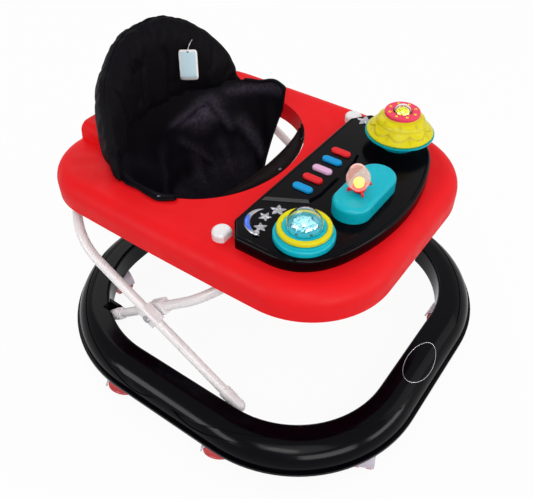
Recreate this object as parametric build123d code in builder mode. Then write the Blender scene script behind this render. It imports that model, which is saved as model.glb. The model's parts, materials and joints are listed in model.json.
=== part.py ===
from build123d import *
from math import sin, cos, tan, asin, sqrt, radians
import os

# Baby walker on eight casters. Millimetres, front is -Y, up is +Z,
# the child faces the front, origin on the floor under the base centre.

# Floor base: a moulded channel rail, open below
base_half_w = 322.0
base_half_l = 339.0
base_front_r = 229.0
base_rear_r = 249.0
rail_w = 64.0
rail_bottom = 51.0
rail_top = 94.0
rail_lip = 5.0
rail_lip_h = 5.0
rail_wall = 3.0
rail_crown_r = 36.0
rail_inner_r = 5.0
swoosh_depth = 1.2
swoosh_x = base_half_w - 10.0
swoosh_y = base_half_l - 17.0
swoosh_front_x = 100.0
swoosh_rear_x = 90.0

# Casters
wheel_r = 23.0
wheel_w = 11.0
caster_trail = 14.0
caster_web = 8.0
caster_gap = 0.6
axle_r = 2.0
stem_r = 4.5
hood_r = 16.0
fender_gap = 1.2
fender_t = 2.5
fender_low = 3.0
hood_under = wheel_r * 2 + fender_gap
hood_h = 9.0
stem_h = 20.0
boss_wall = 5.0
run_clear = 0.07
caster_front_x = 160.0
caster_rear_x = 120.0
caster_side_front_y = -113.0
caster_side_rear_y = 98.0
caster_yaw = (115.0, 0.0, 29.0, -29.0, 29.0, -29.0, 165.0, 190.0)

# Crossed tube frame
tube_r = 8.0
tube_wall = 1.2
outer_leg_x = base_half_w - 80.0
inner_leg_x = outer_leg_x - 22.0
cross_y = 69.0
cross_z = 175.0
outer_angle = 31.2
inner_angle = 39.4
base_pivot_z = 70.0
tray_pivot_z = 304.0
bend_r = 130.0
pin_r = 4.0
sleeve_wall = 2.2
sleeve_len = 34.0
foot_len = 46.0
foot_wall = 2.0
foot_rib = 0.9
fold_low_angle = 13.5
track_gap = 3.5
track_wall = 6.0
track_clear = 1.4
socket_gap = 1.6
lug_t = 5.0
washer_r = 7.0
washer_t = 1.6
washer_gap = 0.6

# Upper tray
tray_half_w = 226.0
tray_bow = 5.0
tray_front_y = -262.0
tray_rear_y = 320.0
tray_front_r = 134.0
tray_rear_r = 105.0
skirt_z = 308.0
tray_z = 357.0
tray_wall = 3.0
tray_crown_r = 27.0
opening_rx = 166.0
opening_ry = 143.0
opening_y = 121.0
lip_depth = 34.0
hump_h = 31.0
hump_half_w = 125.0
hump_round = 15.0
hump_edge = 17.0
saddle_x = 78.0
saddle_w = 16.0
saddle_wall = 4.5
rack_x = 70.0
rack_w = 14.0
rack_wall = 5.0
rack_clear = 1.3

# Seat
back_r = 219.0
back_t = 26.0
back_cy = 56.0
back_half_w = 165.0
back_top = 520.0
back_round = 128.0
sling_gap = 0.6
sling_t = 3.5
seat_rx = 104.0
seat_ry = 94.0
seat_z = 214.0
leg_low_z = 250.0
front_band_h = 34.0
crotch_half_w = 54.0
wing_h = 41.0
wing_front_h = 35.0
wing_rear_h = 10.0
wing_front_y = opening_y - 22.0
wing_peak_y = opening_y - 2.0
chord_y = 14.0
chord_drop = 10.0

# Toy tray
toy_h = 20.0
toy_wall = 2.5
toy_edge_r = 4.0
toy_half_w = 190.0
toy_rear_y = -45.0
toy_rear_x = 160.0
toy_side_rear_y = -68.0
toy_side_front_y = -163.0
toy_front_x = 158.0
toy_front_y = -192.0
toy_nose_y = -231.0
toy_corner_r = 36.0
panel_h = 4.0
panel_rear_x = 106.0
panel_side_x = 72.0
panel_side_y = -112.0
panel_front_x = 48.0
panel_front_y = -118.0
toy_gap = 0.3

button_x = (57.0, 30.0, 2.0, -25.0, -52.0)
button_y = -87.0
button_len = 33.0
button_w = 13.0
button_proud = 4.0
button_travel = 2.0
button_flange = 2.0
button_flange_t = 3.0
button_gap = 0.4

dome_x = -134.0
dome_y = -143.0
dome_base_r = 43.0
dome_base_h = 9.0
dome_step_r = 39.5
dome_step_h = 3.0
dome_ring_r = 38.0
dome_ring_w = 7.6
dome_ring_h = 8.0
dome_glass_r = 26.0
dome_glass_t = 1.6
bead_r = 4.0

block_x = -17.0
block_y = -169.0
block_len = 126.0
block_w = 58.0
block_h = 24.0
block_round = 7.0
block_wall = 2.5
rocket_x = -29.0
rocket_tilt = 19.0
rocket_swing = 38.0
rocket_drop = 10.0
rocket_pin_r = 2.0
rocket_neck_r = 4.5
rocket_boss = 8.0
fin_z = 20.0
fin_r = 18.0
fin_h = 16.0
fin_t = 3.0
capsule_r = 17.0
capsule_h = 40.0
capsule_t = 1.5
lamp_r = 4.0

spin_x = 140.0
spin_y = -143.0
spin_foot_r = 30.0
spin_foot_h = 9.0
spin_rim_r = 54.0
spin_rim_h = 23.0
spin_post_r = 5.0
saucer_waist_r = 38.5
saucer_waist_h = 14.0
saucer_top_r = 27.0
saucer_top_h = 14.5
saucer_wall = 2.0
spin_ring_t = 5.0
spin_ring_hole = 15.0
spin_dot_r = 2.4
spin_dots = 8
spin_dome_t = 1.5

latch_x = 182.0
latch_y = -39.0
latch_r = 14.5
latch_h = 14.0
latch_travel = 6.0
latch_stem = 9.0
latch_gap = 0.4

star_h = 1.2
moon_x = -139.0
moon_y = -88.0
moon_r = 34.0
moon_t = 7.5
moon_shift = 18.5
moon_turn = -60.0

# Linkage: both base pivots share a height and both tray pivots share a
# height, so each tube's two arms are in the same proportion.
s_out = sin(radians(outer_angle))
c_out = cos(radians(outer_angle))
s_in = sin(radians(inner_angle))
c_in = cos(radians(inner_angle))
outer_low = (cross_z - base_pivot_z) / s_out
outer_high = (tray_pivot_z - cross_z) / s_out
inner_low = (cross_z - base_pivot_z) / s_in
inner_high = (tray_pivot_z - cross_z) / s_in
foot_y = cross_y - outer_low * c_out
heel_y = cross_y + inner_low * c_in
rear_bar_y = cross_y + outer_high * c_out
front_bar_y = cross_y - inner_high * c_in
low_out = radians(fold_low_angle)
low_in = asin(sin(low_out) * s_in / s_out)
foot_low_y = heel_y - inner_low * cos(low_in) - outer_low * cos(low_out)
rear_bar_low_y = heel_y - inner_low * cos(low_in) + outer_high * cos(low_out)
front_bar_low_y = (heel_y - (inner_low + inner_high) * cos(low_in)
                   + rear_bar_y - rear_bar_low_y)

toy_top = tray_z + toy_h
panel_top = toy_top + panel_h
sides = (-1, 1)


def save(part, label):
    part.label = label
    export_step(part, "parts/" + label + ".step")


os.makedirs("parts", exist_ok=True)


def rail_outline(inset):
    """Plan of the base, moved in by inset."""
    with BuildSketch() as s:
        Rectangle(2 * (base_half_w - inset), 2 * (base_half_l - inset))
        fillet(s.vertices().group_by(Axis.Y)[0], base_front_r - inset)
        fillet(s.vertices().group_by(Axis.Y)[-1], base_rear_r - inset)
    return s.sketch


def rail_form(skin, lip):
    """Crowned ring, skin millimetres inside the outer faces."""
    with BuildPart() as p:
        with BuildSketch(Plane.XY.offset(rail_bottom)):
            add(rail_outline(rail_lip + skin))
        extrude(amount=rail_top - skin - rail_bottom)
        fillet(p.faces().sort_by(Axis.Z)[-1].edges(), rail_crown_r - skin)
        if lip:
            with BuildSketch(Plane.XY.offset(rail_bottom)):
                add(rail_outline(0))
            extrude(amount=rail_lip_h)
        with BuildSketch(Plane.XY.offset(rail_bottom)):
            add(rail_outline(rail_w - skin))
        extrude(amount=rail_top, mode=Mode.SUBTRACT)
        inner = p.edges().filter_by(
            lambda e: abs(e.center().Z - rail_top + skin) < 0.01)
        fillet(inner, rail_inner_r)
    return p.part


rail_envelope = rail_form(0, True)
rail_cavity = rail_form(rail_wall, False)
rail_mid = (rail_lip + rail_wall + rail_w - rail_wall) / 2

front_line = -base_half_l + rail_mid
rear_line = base_half_l - rail_mid
side_line = base_half_w - rail_mid


def corner_x(y, centre_y, radius):
    return base_half_w - radius + sqrt((radius - rail_mid) ** 2
                                       - (y - centre_y) ** 2)


caster_front_y = front_line
if caster_front_x > base_half_w - base_front_r:
    caster_front_y = -(base_half_l - base_front_r) - sqrt(
        (base_front_r - rail_mid) ** 2
        - (caster_front_x - base_half_w + base_front_r) ** 2)
caster_rear_y = rear_line
if caster_rear_x > base_half_w - base_rear_r:
    caster_rear_y = base_half_l - base_rear_r + sqrt(
        (base_rear_r - rail_mid) ** 2
        - (caster_rear_x - base_half_w + base_rear_r) ** 2)
side_rear_x = side_line
if caster_side_rear_y > base_half_l - base_rear_r:
    side_rear_x = corner_x(caster_side_rear_y, base_half_l - base_rear_r,
                           base_rear_r)
caster_places = [
    (-caster_front_x, caster_front_y), (caster_front_x, caster_front_y),
    (-side_line, caster_side_front_y), (side_line, caster_side_front_y),
    (-side_rear_x, caster_side_rear_y), (side_rear_x, caster_side_rear_y),
    (-caster_rear_x, caster_rear_y), (caster_rear_x, caster_rear_y)]

foot_r = tube_r + foot_wall
track_face = outer_leg_x + foot_r + foot_rib + track_gap
track_front_y = foot_low_y - foot_r - 10
track_rear_y = foot_y + foot_r + 12
track_roof_y = foot_low_y + foot_r + 4
track_roof_z = (base_pivot_z + (track_roof_y - foot_low_y) * tan(low_out)
                + (foot_r + foot_rib) / cos(low_out) + 1.5)
socket_half = foot_r + socket_gap
lug_r = 13.0
ear_x = inner_leg_x - socket_half - lug_t
ear_root_y = (base_half_l - base_rear_r) + sqrt(
    (base_rear_r - rail_w) ** 2 - (ear_x - base_half_w + base_rear_r) ** 2)
ear_len = ear_root_y + lug_r + lug_t - heel_y
stem_top = hood_under + hood_h + stem_h
slot_half = pin_r + track_clear

with BuildPart() as base_ring:
    add(rail_envelope)
    add(rail_cavity, mode=Mode.SUBTRACT)
    # caster bosses, drawn up into the crown
    with BuildPart(mode=Mode.PRIVATE) as bosses:
        for place in caster_places:
            with Locations((*place, hood_under + hood_h + 1)):
                Cylinder(stem_r + boss_wall, rail_top,
                         align=(Align.CENTER, Align.CENTER, Align.MIN))
                out = (0 if place[0] > 0 else 180) if abs(place[1]) < side_line / 2 \
                    else (90 if place[1] > 0 else -90)
                Box(rail_w, rail_wall, rail_top, rotation=(0, 0, out),
                    align=(Align.MIN, Align.CENTER, Align.MIN))
                Box(2 * rail_w, rail_wall, rail_top, rotation=(0, 0, out + 90),
                    align=(Align.CENTER, Align.CENTER, Align.MIN))
        add(rail_cavity, mode=Mode.INTERSECT)
    add(bosses.part)
    # solid seats for the slide tracks and the rear sockets
    with BuildPart(mode=Mode.PRIVATE) as seats:
        for s in sides:
            with Locations((s * (track_face + track_wall / 2 - 15),
                            (track_front_y + track_rear_y) / 2, rail_top / 2)):
                Box(track_wall + 30, track_rear_y - track_front_y + 8,
                    2 * rail_top)
            with Locations((s * inner_leg_x, heel_y + 12, rail_top / 2)):
                Box(2 * (socket_half + lug_t), 50, 2 * rail_top)
        add(rail_envelope, mode=Mode.INTERSECT)
    add(seats.part)
    for s in sides:
        with Locations((s * (track_face - 20), track_roof_y, rail_top)):
            Box(40, track_rear_y - track_roof_y, 4 * rail_top,
                align=(Align.CENTER, Align.MIN, Align.CENTER),
                mode=Mode.SUBTRACT)
        # the front end of the track runs under the rail's inner edge
        with Locations((s * (track_face - 20), track_front_y, track_roof_z)):
            Box(40, track_roof_y + 1 - track_front_y, 4 * rail_top,
                align=(Align.CENTER, Align.MIN, Align.MAX),
                mode=Mode.SUBTRACT)
        with Locations((s * inner_leg_x, heel_y + foot_r + 2, rail_top)):
            Box(2 * socket_half, 200, 4 * rail_top, mode=Mode.SUBTRACT,
                align=(Align.CENTER, Align.MAX, Align.CENTER))
        # inner ear of the socket
        inner_x = s * (inner_leg_x - socket_half)
        with BuildSketch(Plane.YZ.offset(inner_x)):
            with Locations((heel_y, base_pivot_z)):
                Circle(lug_r)
            with Locations((heel_y, base_pivot_z)):
                Rectangle(ear_len, 2 * lug_r, align=(Align.MIN, Align.CENTER))
        extrude(amount=-s * lug_t)
        # pin holes and the track slot
        with Locations(Location((s * inner_leg_x, heel_y, base_pivot_z),
                                (0, 90, 0))):
            Cylinder(pin_r, 2 * (socket_half + lug_t) - 2, mode=Mode.SUBTRACT)
        with BuildSketch(Plane.YZ.offset(s * (track_face - 1))):
            with Locations(((foot_y + foot_low_y) / 2, base_pivot_z)):
                SlotCenterToCenter(foot_y - foot_low_y + 2, 2 * slot_half)
        extrude(amount=s * (track_wall + 2), mode=Mode.SUBTRACT)
    for place in caster_places:
        with Locations((*place, hood_under + hood_h)):
            Cylinder(stem_r + run_clear, stem_h + 1.5,
                     align=(Align.CENTER, Align.CENTER, Align.MIN),
                     mode=Mode.SUBTRACT)
    # swoosh reliefs pressed into the outer slope of the corners
    with BuildPart(mode=Mode.PRIVATE) as swoosh:
        for s in sides:
            with BuildSketch():
                with BuildLine():
                    ThreePointArc((s * swoosh_x, -20),
                                  (s * (swoosh_x - 44), -(swoosh_y - 107)),
                                  (s * swoosh_front_x, -swoosh_y))
                    ThreePointArc((s * swoosh_front_x, -swoosh_y),
                                  (s * (swoosh_x - 72), -(swoosh_y - 94)),
                                  (s * swoosh_x, -20))
                make_face()
            extrude(amount=rail_top)
            with BuildSketch():
                with BuildLine():
                    ThreePointArc((s * swoosh_x, 10),
                                  (s * (swoosh_x - 50), swoosh_y - 102),
                                  (s * swoosh_rear_x, swoosh_y))
                    ThreePointArc((s * swoosh_rear_x, swoosh_y),
                                  (s * (swoosh_x - 76), swoosh_y - 88),
                                  (s * swoosh_x, 10))
                make_face()
            extrude(amount=rail_top)
        add(rail_envelope, mode=Mode.INTERSECT)
        add(rail_form(swoosh_depth, False), mode=Mode.SUBTRACT)
        with Locations((0, 0, rail_bottom)):
            Box(4 * base_half_w, 4 * base_half_l, 2 * (rail_lip_h + 3),
                mode=Mode.SUBTRACT)
        with BuildSketch():
            add(rail_outline(rail_lip + rail_crown_r + 4))
        extrude(amount=2 * rail_top, mode=Mode.SUBTRACT)
    add(swoosh.part, mode=Mode.SUBTRACT)
save(base_ring.part, "base_ring")

with BuildPart() as pivot_pins:
    for s in sides:
        with Locations(Location((s * inner_leg_x, heel_y, base_pivot_z),
                                (0, 90, 0))):
            Cylinder(pin_r, 2 * (socket_half + lug_t) - 2)
save(pivot_pins.part, "rear_pivot_pins")

# Casters: a hood on a swivel stem, with a pair of discs on one axle
disc_in = caster_web / 2 + caster_gap
disc_out = disc_in + wheel_w
with BuildPart() as hood:
    with BuildSketch(Plane.XZ):
        with BuildLine():
            Polyline((0, hood_under), (hood_r, hood_under),
                     (hood_r, hood_under + 2.5))
            ThreePointArc((hood_r, hood_under + 2.5),
                          (hood_r * 0.72, hood_under + hood_h * 0.8),
                          (stem_r + 4, hood_under + hood_h))
            Polyline((stem_r + 4, hood_under + hood_h),
                     (stem_r, hood_under + hood_h), (stem_r, stem_top - 1),
                     (stem_r - 1, stem_top), (0, stem_top), (0, hood_under))
        make_face()
    revolve(axis=Axis.Z)
    with BuildSketch(Plane.YZ.offset(-caster_web / 2)):
        with Locations((caster_trail, wheel_r)):
            Circle(wheel_r * 0.62)
        with BuildLine():
            Polyline((-stem_r - 3, hood_under + 1), (caster_trail + 9, hood_under + 1),
                     (caster_trail + wheel_r * 0.6, wheel_r),
                     (caster_trail - wheel_r * 0.6, wheel_r),
                     (-stem_r - 3, hood_under + 1))
        make_face()
    extrude(amount=caster_web)
    # fender over the upper half of both discs
    with BuildSketch(Plane.YZ.offset(-disc_out - fender_gap)):
        with Locations((caster_trail, wheel_r)):
            Circle(wheel_r + fender_gap + fender_t)
            Circle(wheel_r + fender_gap, mode=Mode.SUBTRACT)
        with Locations((caster_trail, wheel_r + fender_low)):
            Rectangle(4 * wheel_r, 4 * wheel_r, mode=Mode.SUBTRACT,
                      align=(Align.CENTER, Align.MAX))
    extrude(amount=2 * (disc_out + fender_gap))
    with Locations(Location((0, caster_trail, wheel_r), (0, 90, 0))):
        Cylinder(axle_r + run_clear, 2 * caster_web, mode=Mode.SUBTRACT)
with BuildPart() as discs:
    for s in sides:
        with BuildPart(mode=Mode.PRIVATE) as disc:
            with BuildSketch(Plane.XZ):
                with BuildLine():
                    Polyline((axle_r, 0), (wheel_r - 1.5, 0), (wheel_r, 1.5),
                             (wheel_r, wheel_w - 3))
                    ThreePointArc((wheel_r, wheel_w - 3),
                                  (wheel_r - 0.9, wheel_w - 0.9),
                                  (wheel_r - 3, wheel_w))
                    Polyline((wheel_r - 3, wheel_w), (wheel_r - 5, wheel_w),
                             (wheel_r - 6.5, wheel_w - 1.5),
                             (axle_r + 5, wheel_w - 1.5),
                             (axle_r + 3.5, wheel_w), (axle_r, wheel_w),
                             (axle_r, 0))
                make_face()
            revolve(axis=Axis.Z)
        add(disc.part.moved(Location((s * disc_in, caster_trail, wheel_r),
                                     (0, 90 * s, 0))))
with BuildPart() as axle:
    with Locations(Location((0, caster_trail, wheel_r), (0, 90, 0))):
        Cylinder(axle_r, 2 * disc_out - 1)
for i, place in enumerate(caster_places):
    spot = Location((*place, 0), (0, 0, caster_yaw[i]))
    save(hood.part.moved(spot), "caster_hood_%d" % (i + 1))
    save(Compound(children=[*[b.moved(spot) for b in discs.part.solids()],
                            axle.part.solids()[0].moved(spot)]),
         "caster_wheels_%d" % (i + 1))


def bent_tube(leg_x, angle, low, high, way, radius):
    """U tube: two legs, two bends and a cross bar, way is +1 to the rear."""
    d = Vector(0, way * cos(radians(angle)), sin(radians(angle)))
    c = Vector(0, cross_y, cross_z)
    foot = c - d * low
    knee = c + d * (high - bend_r)
    bar = c + d * high
    bulge = c + d * (high - bend_r + bend_r * sin(radians(45)))
    inset = bend_r * (1 - cos(radians(45)))
    ex = Vector(1, 0, 0)
    with BuildLine() as path:
        Line(foot - ex * leg_x, knee - ex * leg_x)
        ThreePointArc(knee - ex * leg_x, bulge - ex * (leg_x - inset),
                      bar - ex * (leg_x - bend_r))
        Line(bar - ex * (leg_x - bend_r), bar + ex * (leg_x - bend_r))
        ThreePointArc(bar + ex * (leg_x - bend_r),
                      bulge + ex * (leg_x - inset), knee + ex * leg_x)
        Line(knee + ex * leg_x, foot + ex * leg_x)
    with BuildPart() as p:
        with BuildSketch(Plane(foot - ex * leg_x, x_dir=(1, 0, 0), z_dir=d)):
            Circle(radius)
        sweep(path=path.wires()[0])
    return p.part


def leg_plane(leg_x, angle, way, along):
    """Plane across a leg at a distance along it from the crossing."""
    d = Vector(0, way * cos(radians(angle)), sin(radians(angle)))
    return Plane(Vector(leg_x, cross_y, cross_z) + d * along,
                 x_dir=(1, 0, 0), z_dir=d)


legs = {"rear_tube": (outer_leg_x, outer_angle, outer_low, outer_high, 1),
        "front_tube": (inner_leg_x, inner_angle, inner_low, inner_high, -1)}
sleeve_r = tube_r + sleeve_wall
for name, (leg_x, angle, low, high, way) in legs.items():
    with BuildPart() as tube:
        add(bent_tube(leg_x, angle, low - foot_r - 1, high, way, tube_r))
        add(bent_tube(leg_x, angle, low + foot_r, high, way,
                      tube_r - tube_wall), mode=Mode.SUBTRACT)
        with Locations(Location((0, cross_y, cross_z), (0, 90, 0))):
            Cylinder(pin_r, 4 * leg_x, mode=Mode.SUBTRACT)
    save(tube.part, name)

# Sleeves at the crossing, squared, with the rivet through both
for name, (leg_x, angle, low, high, way) in legs.items():
    with BuildPart() as sleeves:
        for s in sides:
            mid = leg_plane(s * leg_x, angle, way, -sleeve_len / 2)
            with BuildSketch(mid):
                RectangleRounded(2 * sleeve_r, 2 * sleeve_r + 4, 4)
                Circle(tube_r, mode=Mode.SUBTRACT)
            extrude(amount=sleeve_len)
        bore = pin_r + (run_clear if name == "rear_tube" else 0)
        with Locations(Location((0, cross_y, cross_z), (0, 90, 0))):
            Cylinder(bore, 4 * leg_x, mode=Mode.SUBTRACT)
    save(sleeves.part, name.replace("tube", "sleeves"))
rivet_in = inner_leg_x - sleeve_r
rivet_out = outer_leg_x + sleeve_r
with BuildPart() as rivets:
    for s in sides:
        with Locations(Location((s * (rivet_in - 2), cross_y, cross_z),
                                (0, 90 * s, 0))):
            Cylinder(pin_r - run_clear, rivet_out - rivet_in + 2.6,
                     align=(Align.CENTER, Align.CENTER, Align.MIN))
            Cylinder(pin_r + 2.5, 2,
                     align=(Align.CENTER, Align.CENTER, Align.MIN))
        with Locations(Location((s * (rivet_out + 0.6), cross_y, cross_z),
                                (0, 90 * s, 0))):
            Cylinder(pin_r + 2.5, 2,
                     align=(Align.CENTER, Align.CENTER, Align.MIN))
save(rivets.part, "cross_rivets")


def end_plug(leg_x, angle, low, way, bore):
    """Ribbed end fitting round the foot of one leg, eyed for a pin."""
    plane = leg_plane(leg_x, angle, way, -low)
    with BuildPart() as p:
        with BuildSketch(plane):
            Circle(foot_r)
        extrude(amount=foot_len - foot_r)
        with Locations(plane.location):
            Sphere(foot_r)
        for i in range(4):
            with BuildSketch(plane.offset(foot_len - foot_r - 6 - 5 * i)):
                Circle(foot_r + foot_rib)
            extrude(amount=2.4)
        with BuildSketch(plane.offset(foot_r + 1)):
            Circle(tube_r)
        extrude(amount=foot_len, mode=Mode.SUBTRACT)
        with Locations(Location(plane.origin, (0, 90, 0))):
            Cylinder(bore, 4 * foot_r, mode=Mode.SUBTRACT)
    return p.part


with BuildPart() as feet:
    for s in sides:
        add(end_plug(s * outer_leg_x, outer_angle, outer_low, 1, pin_r))
save(feet.part, "slider_feet")
with BuildPart() as heels:
    for s in sides:
        add(end_plug(s * inner_leg_x, inner_angle, inner_low, -1,
                     pin_r + run_clear))
save(heels.part, "pivot_plugs")
with BuildPart() as guides:
    for s in sides:
        with Locations(Location((s * (outer_leg_x - foot_r), foot_y,
                                 base_pivot_z), (0, 90 * s, 0))):
            Cylinder(pin_r, track_face + track_wall + washer_gap + washer_t
                     - outer_leg_x + foot_r,
                     align=(Align.CENTER, Align.CENTER, Align.MIN))
        with Locations(Location((s * (track_face + track_wall + washer_gap), foot_y,
                                 base_pivot_z), (0, 90 * s, 0))):
            Cylinder(washer_r, washer_t,
                     align=(Align.CENTER, Align.CENTER, Align.MIN))
save(guides.part, "guide_pins")


# Upper tray
def tray_outline(inset):
    """Plan of the tray with bowed sides, moved in by inset."""
    w = tray_half_w - inset
    f = tray_front_y + inset
    r = tray_rear_y - inset
    m = (f + r) / 2
    with BuildSketch() as s:
        with BuildLine():
            Line((-w, f), (w, f))
            ThreePointArc((w, f), (w + tray_bow, m), (w, r))
            Line((w, r), (-w, r))
            ThreePointArc((-w, r), (-w - tray_bow, m), (-w, f))
        make_face()
        fillet(s.vertices().group_by(Axis.Y)[0], tray_front_r - inset)
        fillet(s.vertices().group_by(Axis.Y)[-1], tray_rear_r - inset)
    return s.sketch


def opening(grow):
    with BuildSketch() as s:
        with Locations((0, opening_y)):
            Ellipse(opening_rx + grow, opening_ry + grow)
    return s.sketch


back_gap = 1.0


def tray_form(skin):
    """Crowned tray with the rise behind the seat back, skin inside its faces."""
    with BuildPart() as p:
        with BuildSketch(Plane.XY.offset(skirt_z)):
            add(tray_outline(skin))
        extrude(amount=tray_z - skin - skirt_z)
        fillet(p.faces().sort_by(Axis.Z)[-1].edges(), tray_crown_r - skin)
        with BuildPart(mode=Mode.PRIVATE) as hump:
            with BuildSketch(Plane.XY.offset(tray_z - tray_wall - 2)):
                add(tray_outline(hump_edge + skin))
                with Locations((0, back_cy)):
                    Circle(back_r + back_gap + skin, mode=Mode.SUBTRACT)
                Rectangle(900, 900, align=(Align.CENTER, Align.MAX),
                          mode=Mode.SUBTRACT)
                with Locations((0, back_cy)):
                    Rectangle(900, 120, align=(Align.CENTER, Align.MAX),
                              mode=Mode.SUBTRACT)
            extrude(amount=hump_h + 2 * tray_wall, taper=7)
            with BuildSketch(Plane.XZ.offset(-tray_rear_y)):
                with Locations((0, tray_z)):
                    RectangleRounded(2 * (hump_half_w - skin), 2 * (hump_h - skin),
                                     hump_round - skin)
            extrude(amount=2 * tray_rear_y, mode=Mode.INTERSECT)
        add(hump.part)
    return p.part


tray_cavity = tray_form(tray_wall)
with BuildPart() as tray:
    add(tray_form(0))
    add(tray_cavity, mode=Mode.SUBTRACT)
    with BuildSketch(Plane.XY.offset(tray_z - lip_depth)):
        add(opening(tray_wall))
    extrude(amount=lip_depth)
    with BuildSketch(Plane.XY.offset(skirt_z)):
        add(opening(0))
    extrude(amount=tray_z, mode=Mode.SUBTRACT)
    # slots for the latch stems
    for s in sides:
        with BuildSketch(Plane.XY.offset(tray_z - 2 * tray_wall)):
            with Locations((s * (latch_x + latch_travel / 2), latch_y)):
                Rectangle(latch_stem + latch_travel + 2 * latch_gap,
                          latch_stem + 2 * latch_gap)
        extrude(amount=3 * tray_wall, mode=Mode.SUBTRACT)
save(tray.part, "upper_tray")

with BuildPart() as saddles:
    for s in sides:
        with BuildSketch(Plane.YZ.offset(s * saddle_x - saddle_w / 2)):
            with Locations((rear_bar_y, tray_pivot_z)):
                Circle(tube_r + saddle_wall)
                Rectangle(2 * (tube_r + saddle_wall), 200,
                          align=(Align.CENTER, Align.MIN))
            with Locations((rear_bar_y, tray_z)):
                Rectangle(saddle_wall, 60)
        extrude(amount=saddle_w)
    with BuildPart(mode=Mode.PRIVATE) as room:
        add(tray_cavity)
        with BuildSketch(Plane.XY.offset(skirt_z)):
            add(tray_outline(tray_wall))
        extrude(amount=-60)
        with BuildSketch(Plane.XY.offset(skirt_z - 60)):
            add(opening(tray_wall))
        extrude(amount=200, mode=Mode.SUBTRACT)
    add(room.part, mode=Mode.INTERSECT)
    with Locations(Location((0, rear_bar_y, tray_pivot_z), (0, 90, 0))):
        Cylinder(tube_r + run_clear, 4 * saddle_x, mode=Mode.SUBTRACT)
save(saddles.part, "rear_tube_saddles")

rack_mid = (front_bar_y + front_bar_low_y) / 2
rack_run = front_bar_y - front_bar_low_y
with BuildPart() as racks:
    for s in sides:
        with BuildSketch(Plane.YZ.offset(s * rack_x - rack_w / 2)):
            with Locations((rack_mid, tray_pivot_z)):
                SlotCenterToCenter(rack_run, 2 * (tube_r + rack_clear + rack_wall))
                Rectangle(rack_run + 2 * tube_r, tray_z - tray_wall - tray_pivot_z,
                          align=(Align.CENTER, Align.MIN))
                SlotCenterToCenter(rack_run + 1, 2 * (tube_r + rack_clear),
                                   mode=Mode.SUBTRACT)
            for i in range(3):
                with Locations((front_bar_y - 22 * i, tray_pivot_z + 3.5)):
                    Circle(tube_r + rack_clear, mode=Mode.SUBTRACT)
        extrude(amount=rack_w)
save(racks.part, "height_racks")

# Seat: padded back and the hanging sling
with BuildPart() as seat_back:
    with BuildSketch(Plane.XY.offset(tray_z)):
        with Locations((0, back_cy)):
            Circle(back_r)
            Circle(back_r - back_t, mode=Mode.SUBTRACT)
            Rectangle(4 * back_r, 4 * back_r, align=(Align.CENTER, Align.MAX),
                      mode=Mode.SUBTRACT)
    extrude(amount=back_top - tray_z)
    with BuildSketch(Plane.XZ.offset(-tray_rear_y)) as face:
        Rectangle(2 * back_half_w, back_top,
                  align=(Align.CENTER, Align.MIN))
        fillet(face.vertices().group_by(Axis.Y)[-1], back_round)
    extrude(amount=2 * tray_rear_y, mode=Mode.INTERSECT)
save(seat_back.part, "seat_back")

sling_rx = opening_rx - sling_gap
sling_ry = opening_ry - sling_gap


def bowl(skin):
    with BuildPart() as p:
        with BuildSketch(Plane.XY.offset(tray_z - 1)):
            with Locations((0, opening_y)):
                Ellipse(sling_rx - skin, sling_ry - skin)
        with BuildSketch(Plane.XY.offset(seat_z + skin)):
            with Locations((0, opening_y)):
                Ellipse(seat_rx - skin, seat_ry - skin)
        loft()
    return p.part


with BuildPart() as sling:
    add(bowl(0))
    add(bowl(sling_t), mode=Mode.SUBTRACT)
    for s in sides:
        # leg openings below the front band and up to the rim at the sides
        with BuildSketch(Plane.XY.offset(leg_low_z)):
            with BuildLine():
                Polyline((s * crotch_half_w, opening_y - 30),
                         (s * crotch_half_w, -200), (s * 300, -200),
                         (s * 300, opening_y - 12),
                         (s * crotch_half_w, opening_y - 30))
            make_face()
        extrude(amount=tray_z - front_band_h - leg_low_z, mode=Mode.SUBTRACT)
        with BuildSketch(Plane.XY.offset(leg_low_z)):
            with BuildLine():
                Polyline((s * 60, opening_y - 30), (s * 250, -40),
                         (s * 300, opening_y - 12), (s * 60, opening_y - 30))
            make_face()
        extrude(amount=tray_z, mode=Mode.SUBTRACT)
    # front edge pulled straight across the opening
    with BuildSketch(Plane.XY.offset(tray_z - chord_drop)):
        with Locations((0, opening_y)):
            Ellipse(sling_rx - 1.2 * sling_t, sling_ry - 1.2 * sling_t)
        with Locations((0, chord_y)):
            Rectangle(4 * sling_rx, 4 * sling_ry,
                      align=(Align.CENTER, Align.MIN), mode=Mode.SUBTRACT)
    extrude(amount=sling_t)
    # side wings that stand above the tray, in front of the back
    with BuildPart(mode=Mode.PRIVATE) as wings:
        with BuildSketch(Plane.XY.offset(tray_z - sling_t)):
            with Locations((0, opening_y)):
                Ellipse(sling_rx, sling_ry)
                Ellipse(sling_rx - sling_t, sling_ry - sling_t,
                        mode=Mode.SUBTRACT)
            with Locations((0, wing_front_y)):
                Rectangle(4 * sling_rx, 4 * sling_ry,
                          align=(Align.CENTER, Align.MAX), mode=Mode.SUBTRACT)
            with Locations((0, back_cy)):
                Circle(back_r - back_t - sling_gap, mode=Mode.INTERSECT)
        extrude(amount=2 * wing_h)
        with BuildSketch(Plane.YZ):
            with BuildLine():
                Polyline((wing_front_y - 1, 0), (wing_front_y - 1, tray_z + wing_front_h),
                         (wing_peak_y, tray_z + wing_h),
                         (opening_y + sling_ry, tray_z + wing_rear_h - 40),
                         (opening_y + sling_ry, 0), (wing_front_y - 1, 0))
            make_face()
        extrude(amount=2 * sling_rx, both=True, mode=Mode.INTERSECT)
    add(wings.part)
save(sling.part, "seat_sling")


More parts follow.
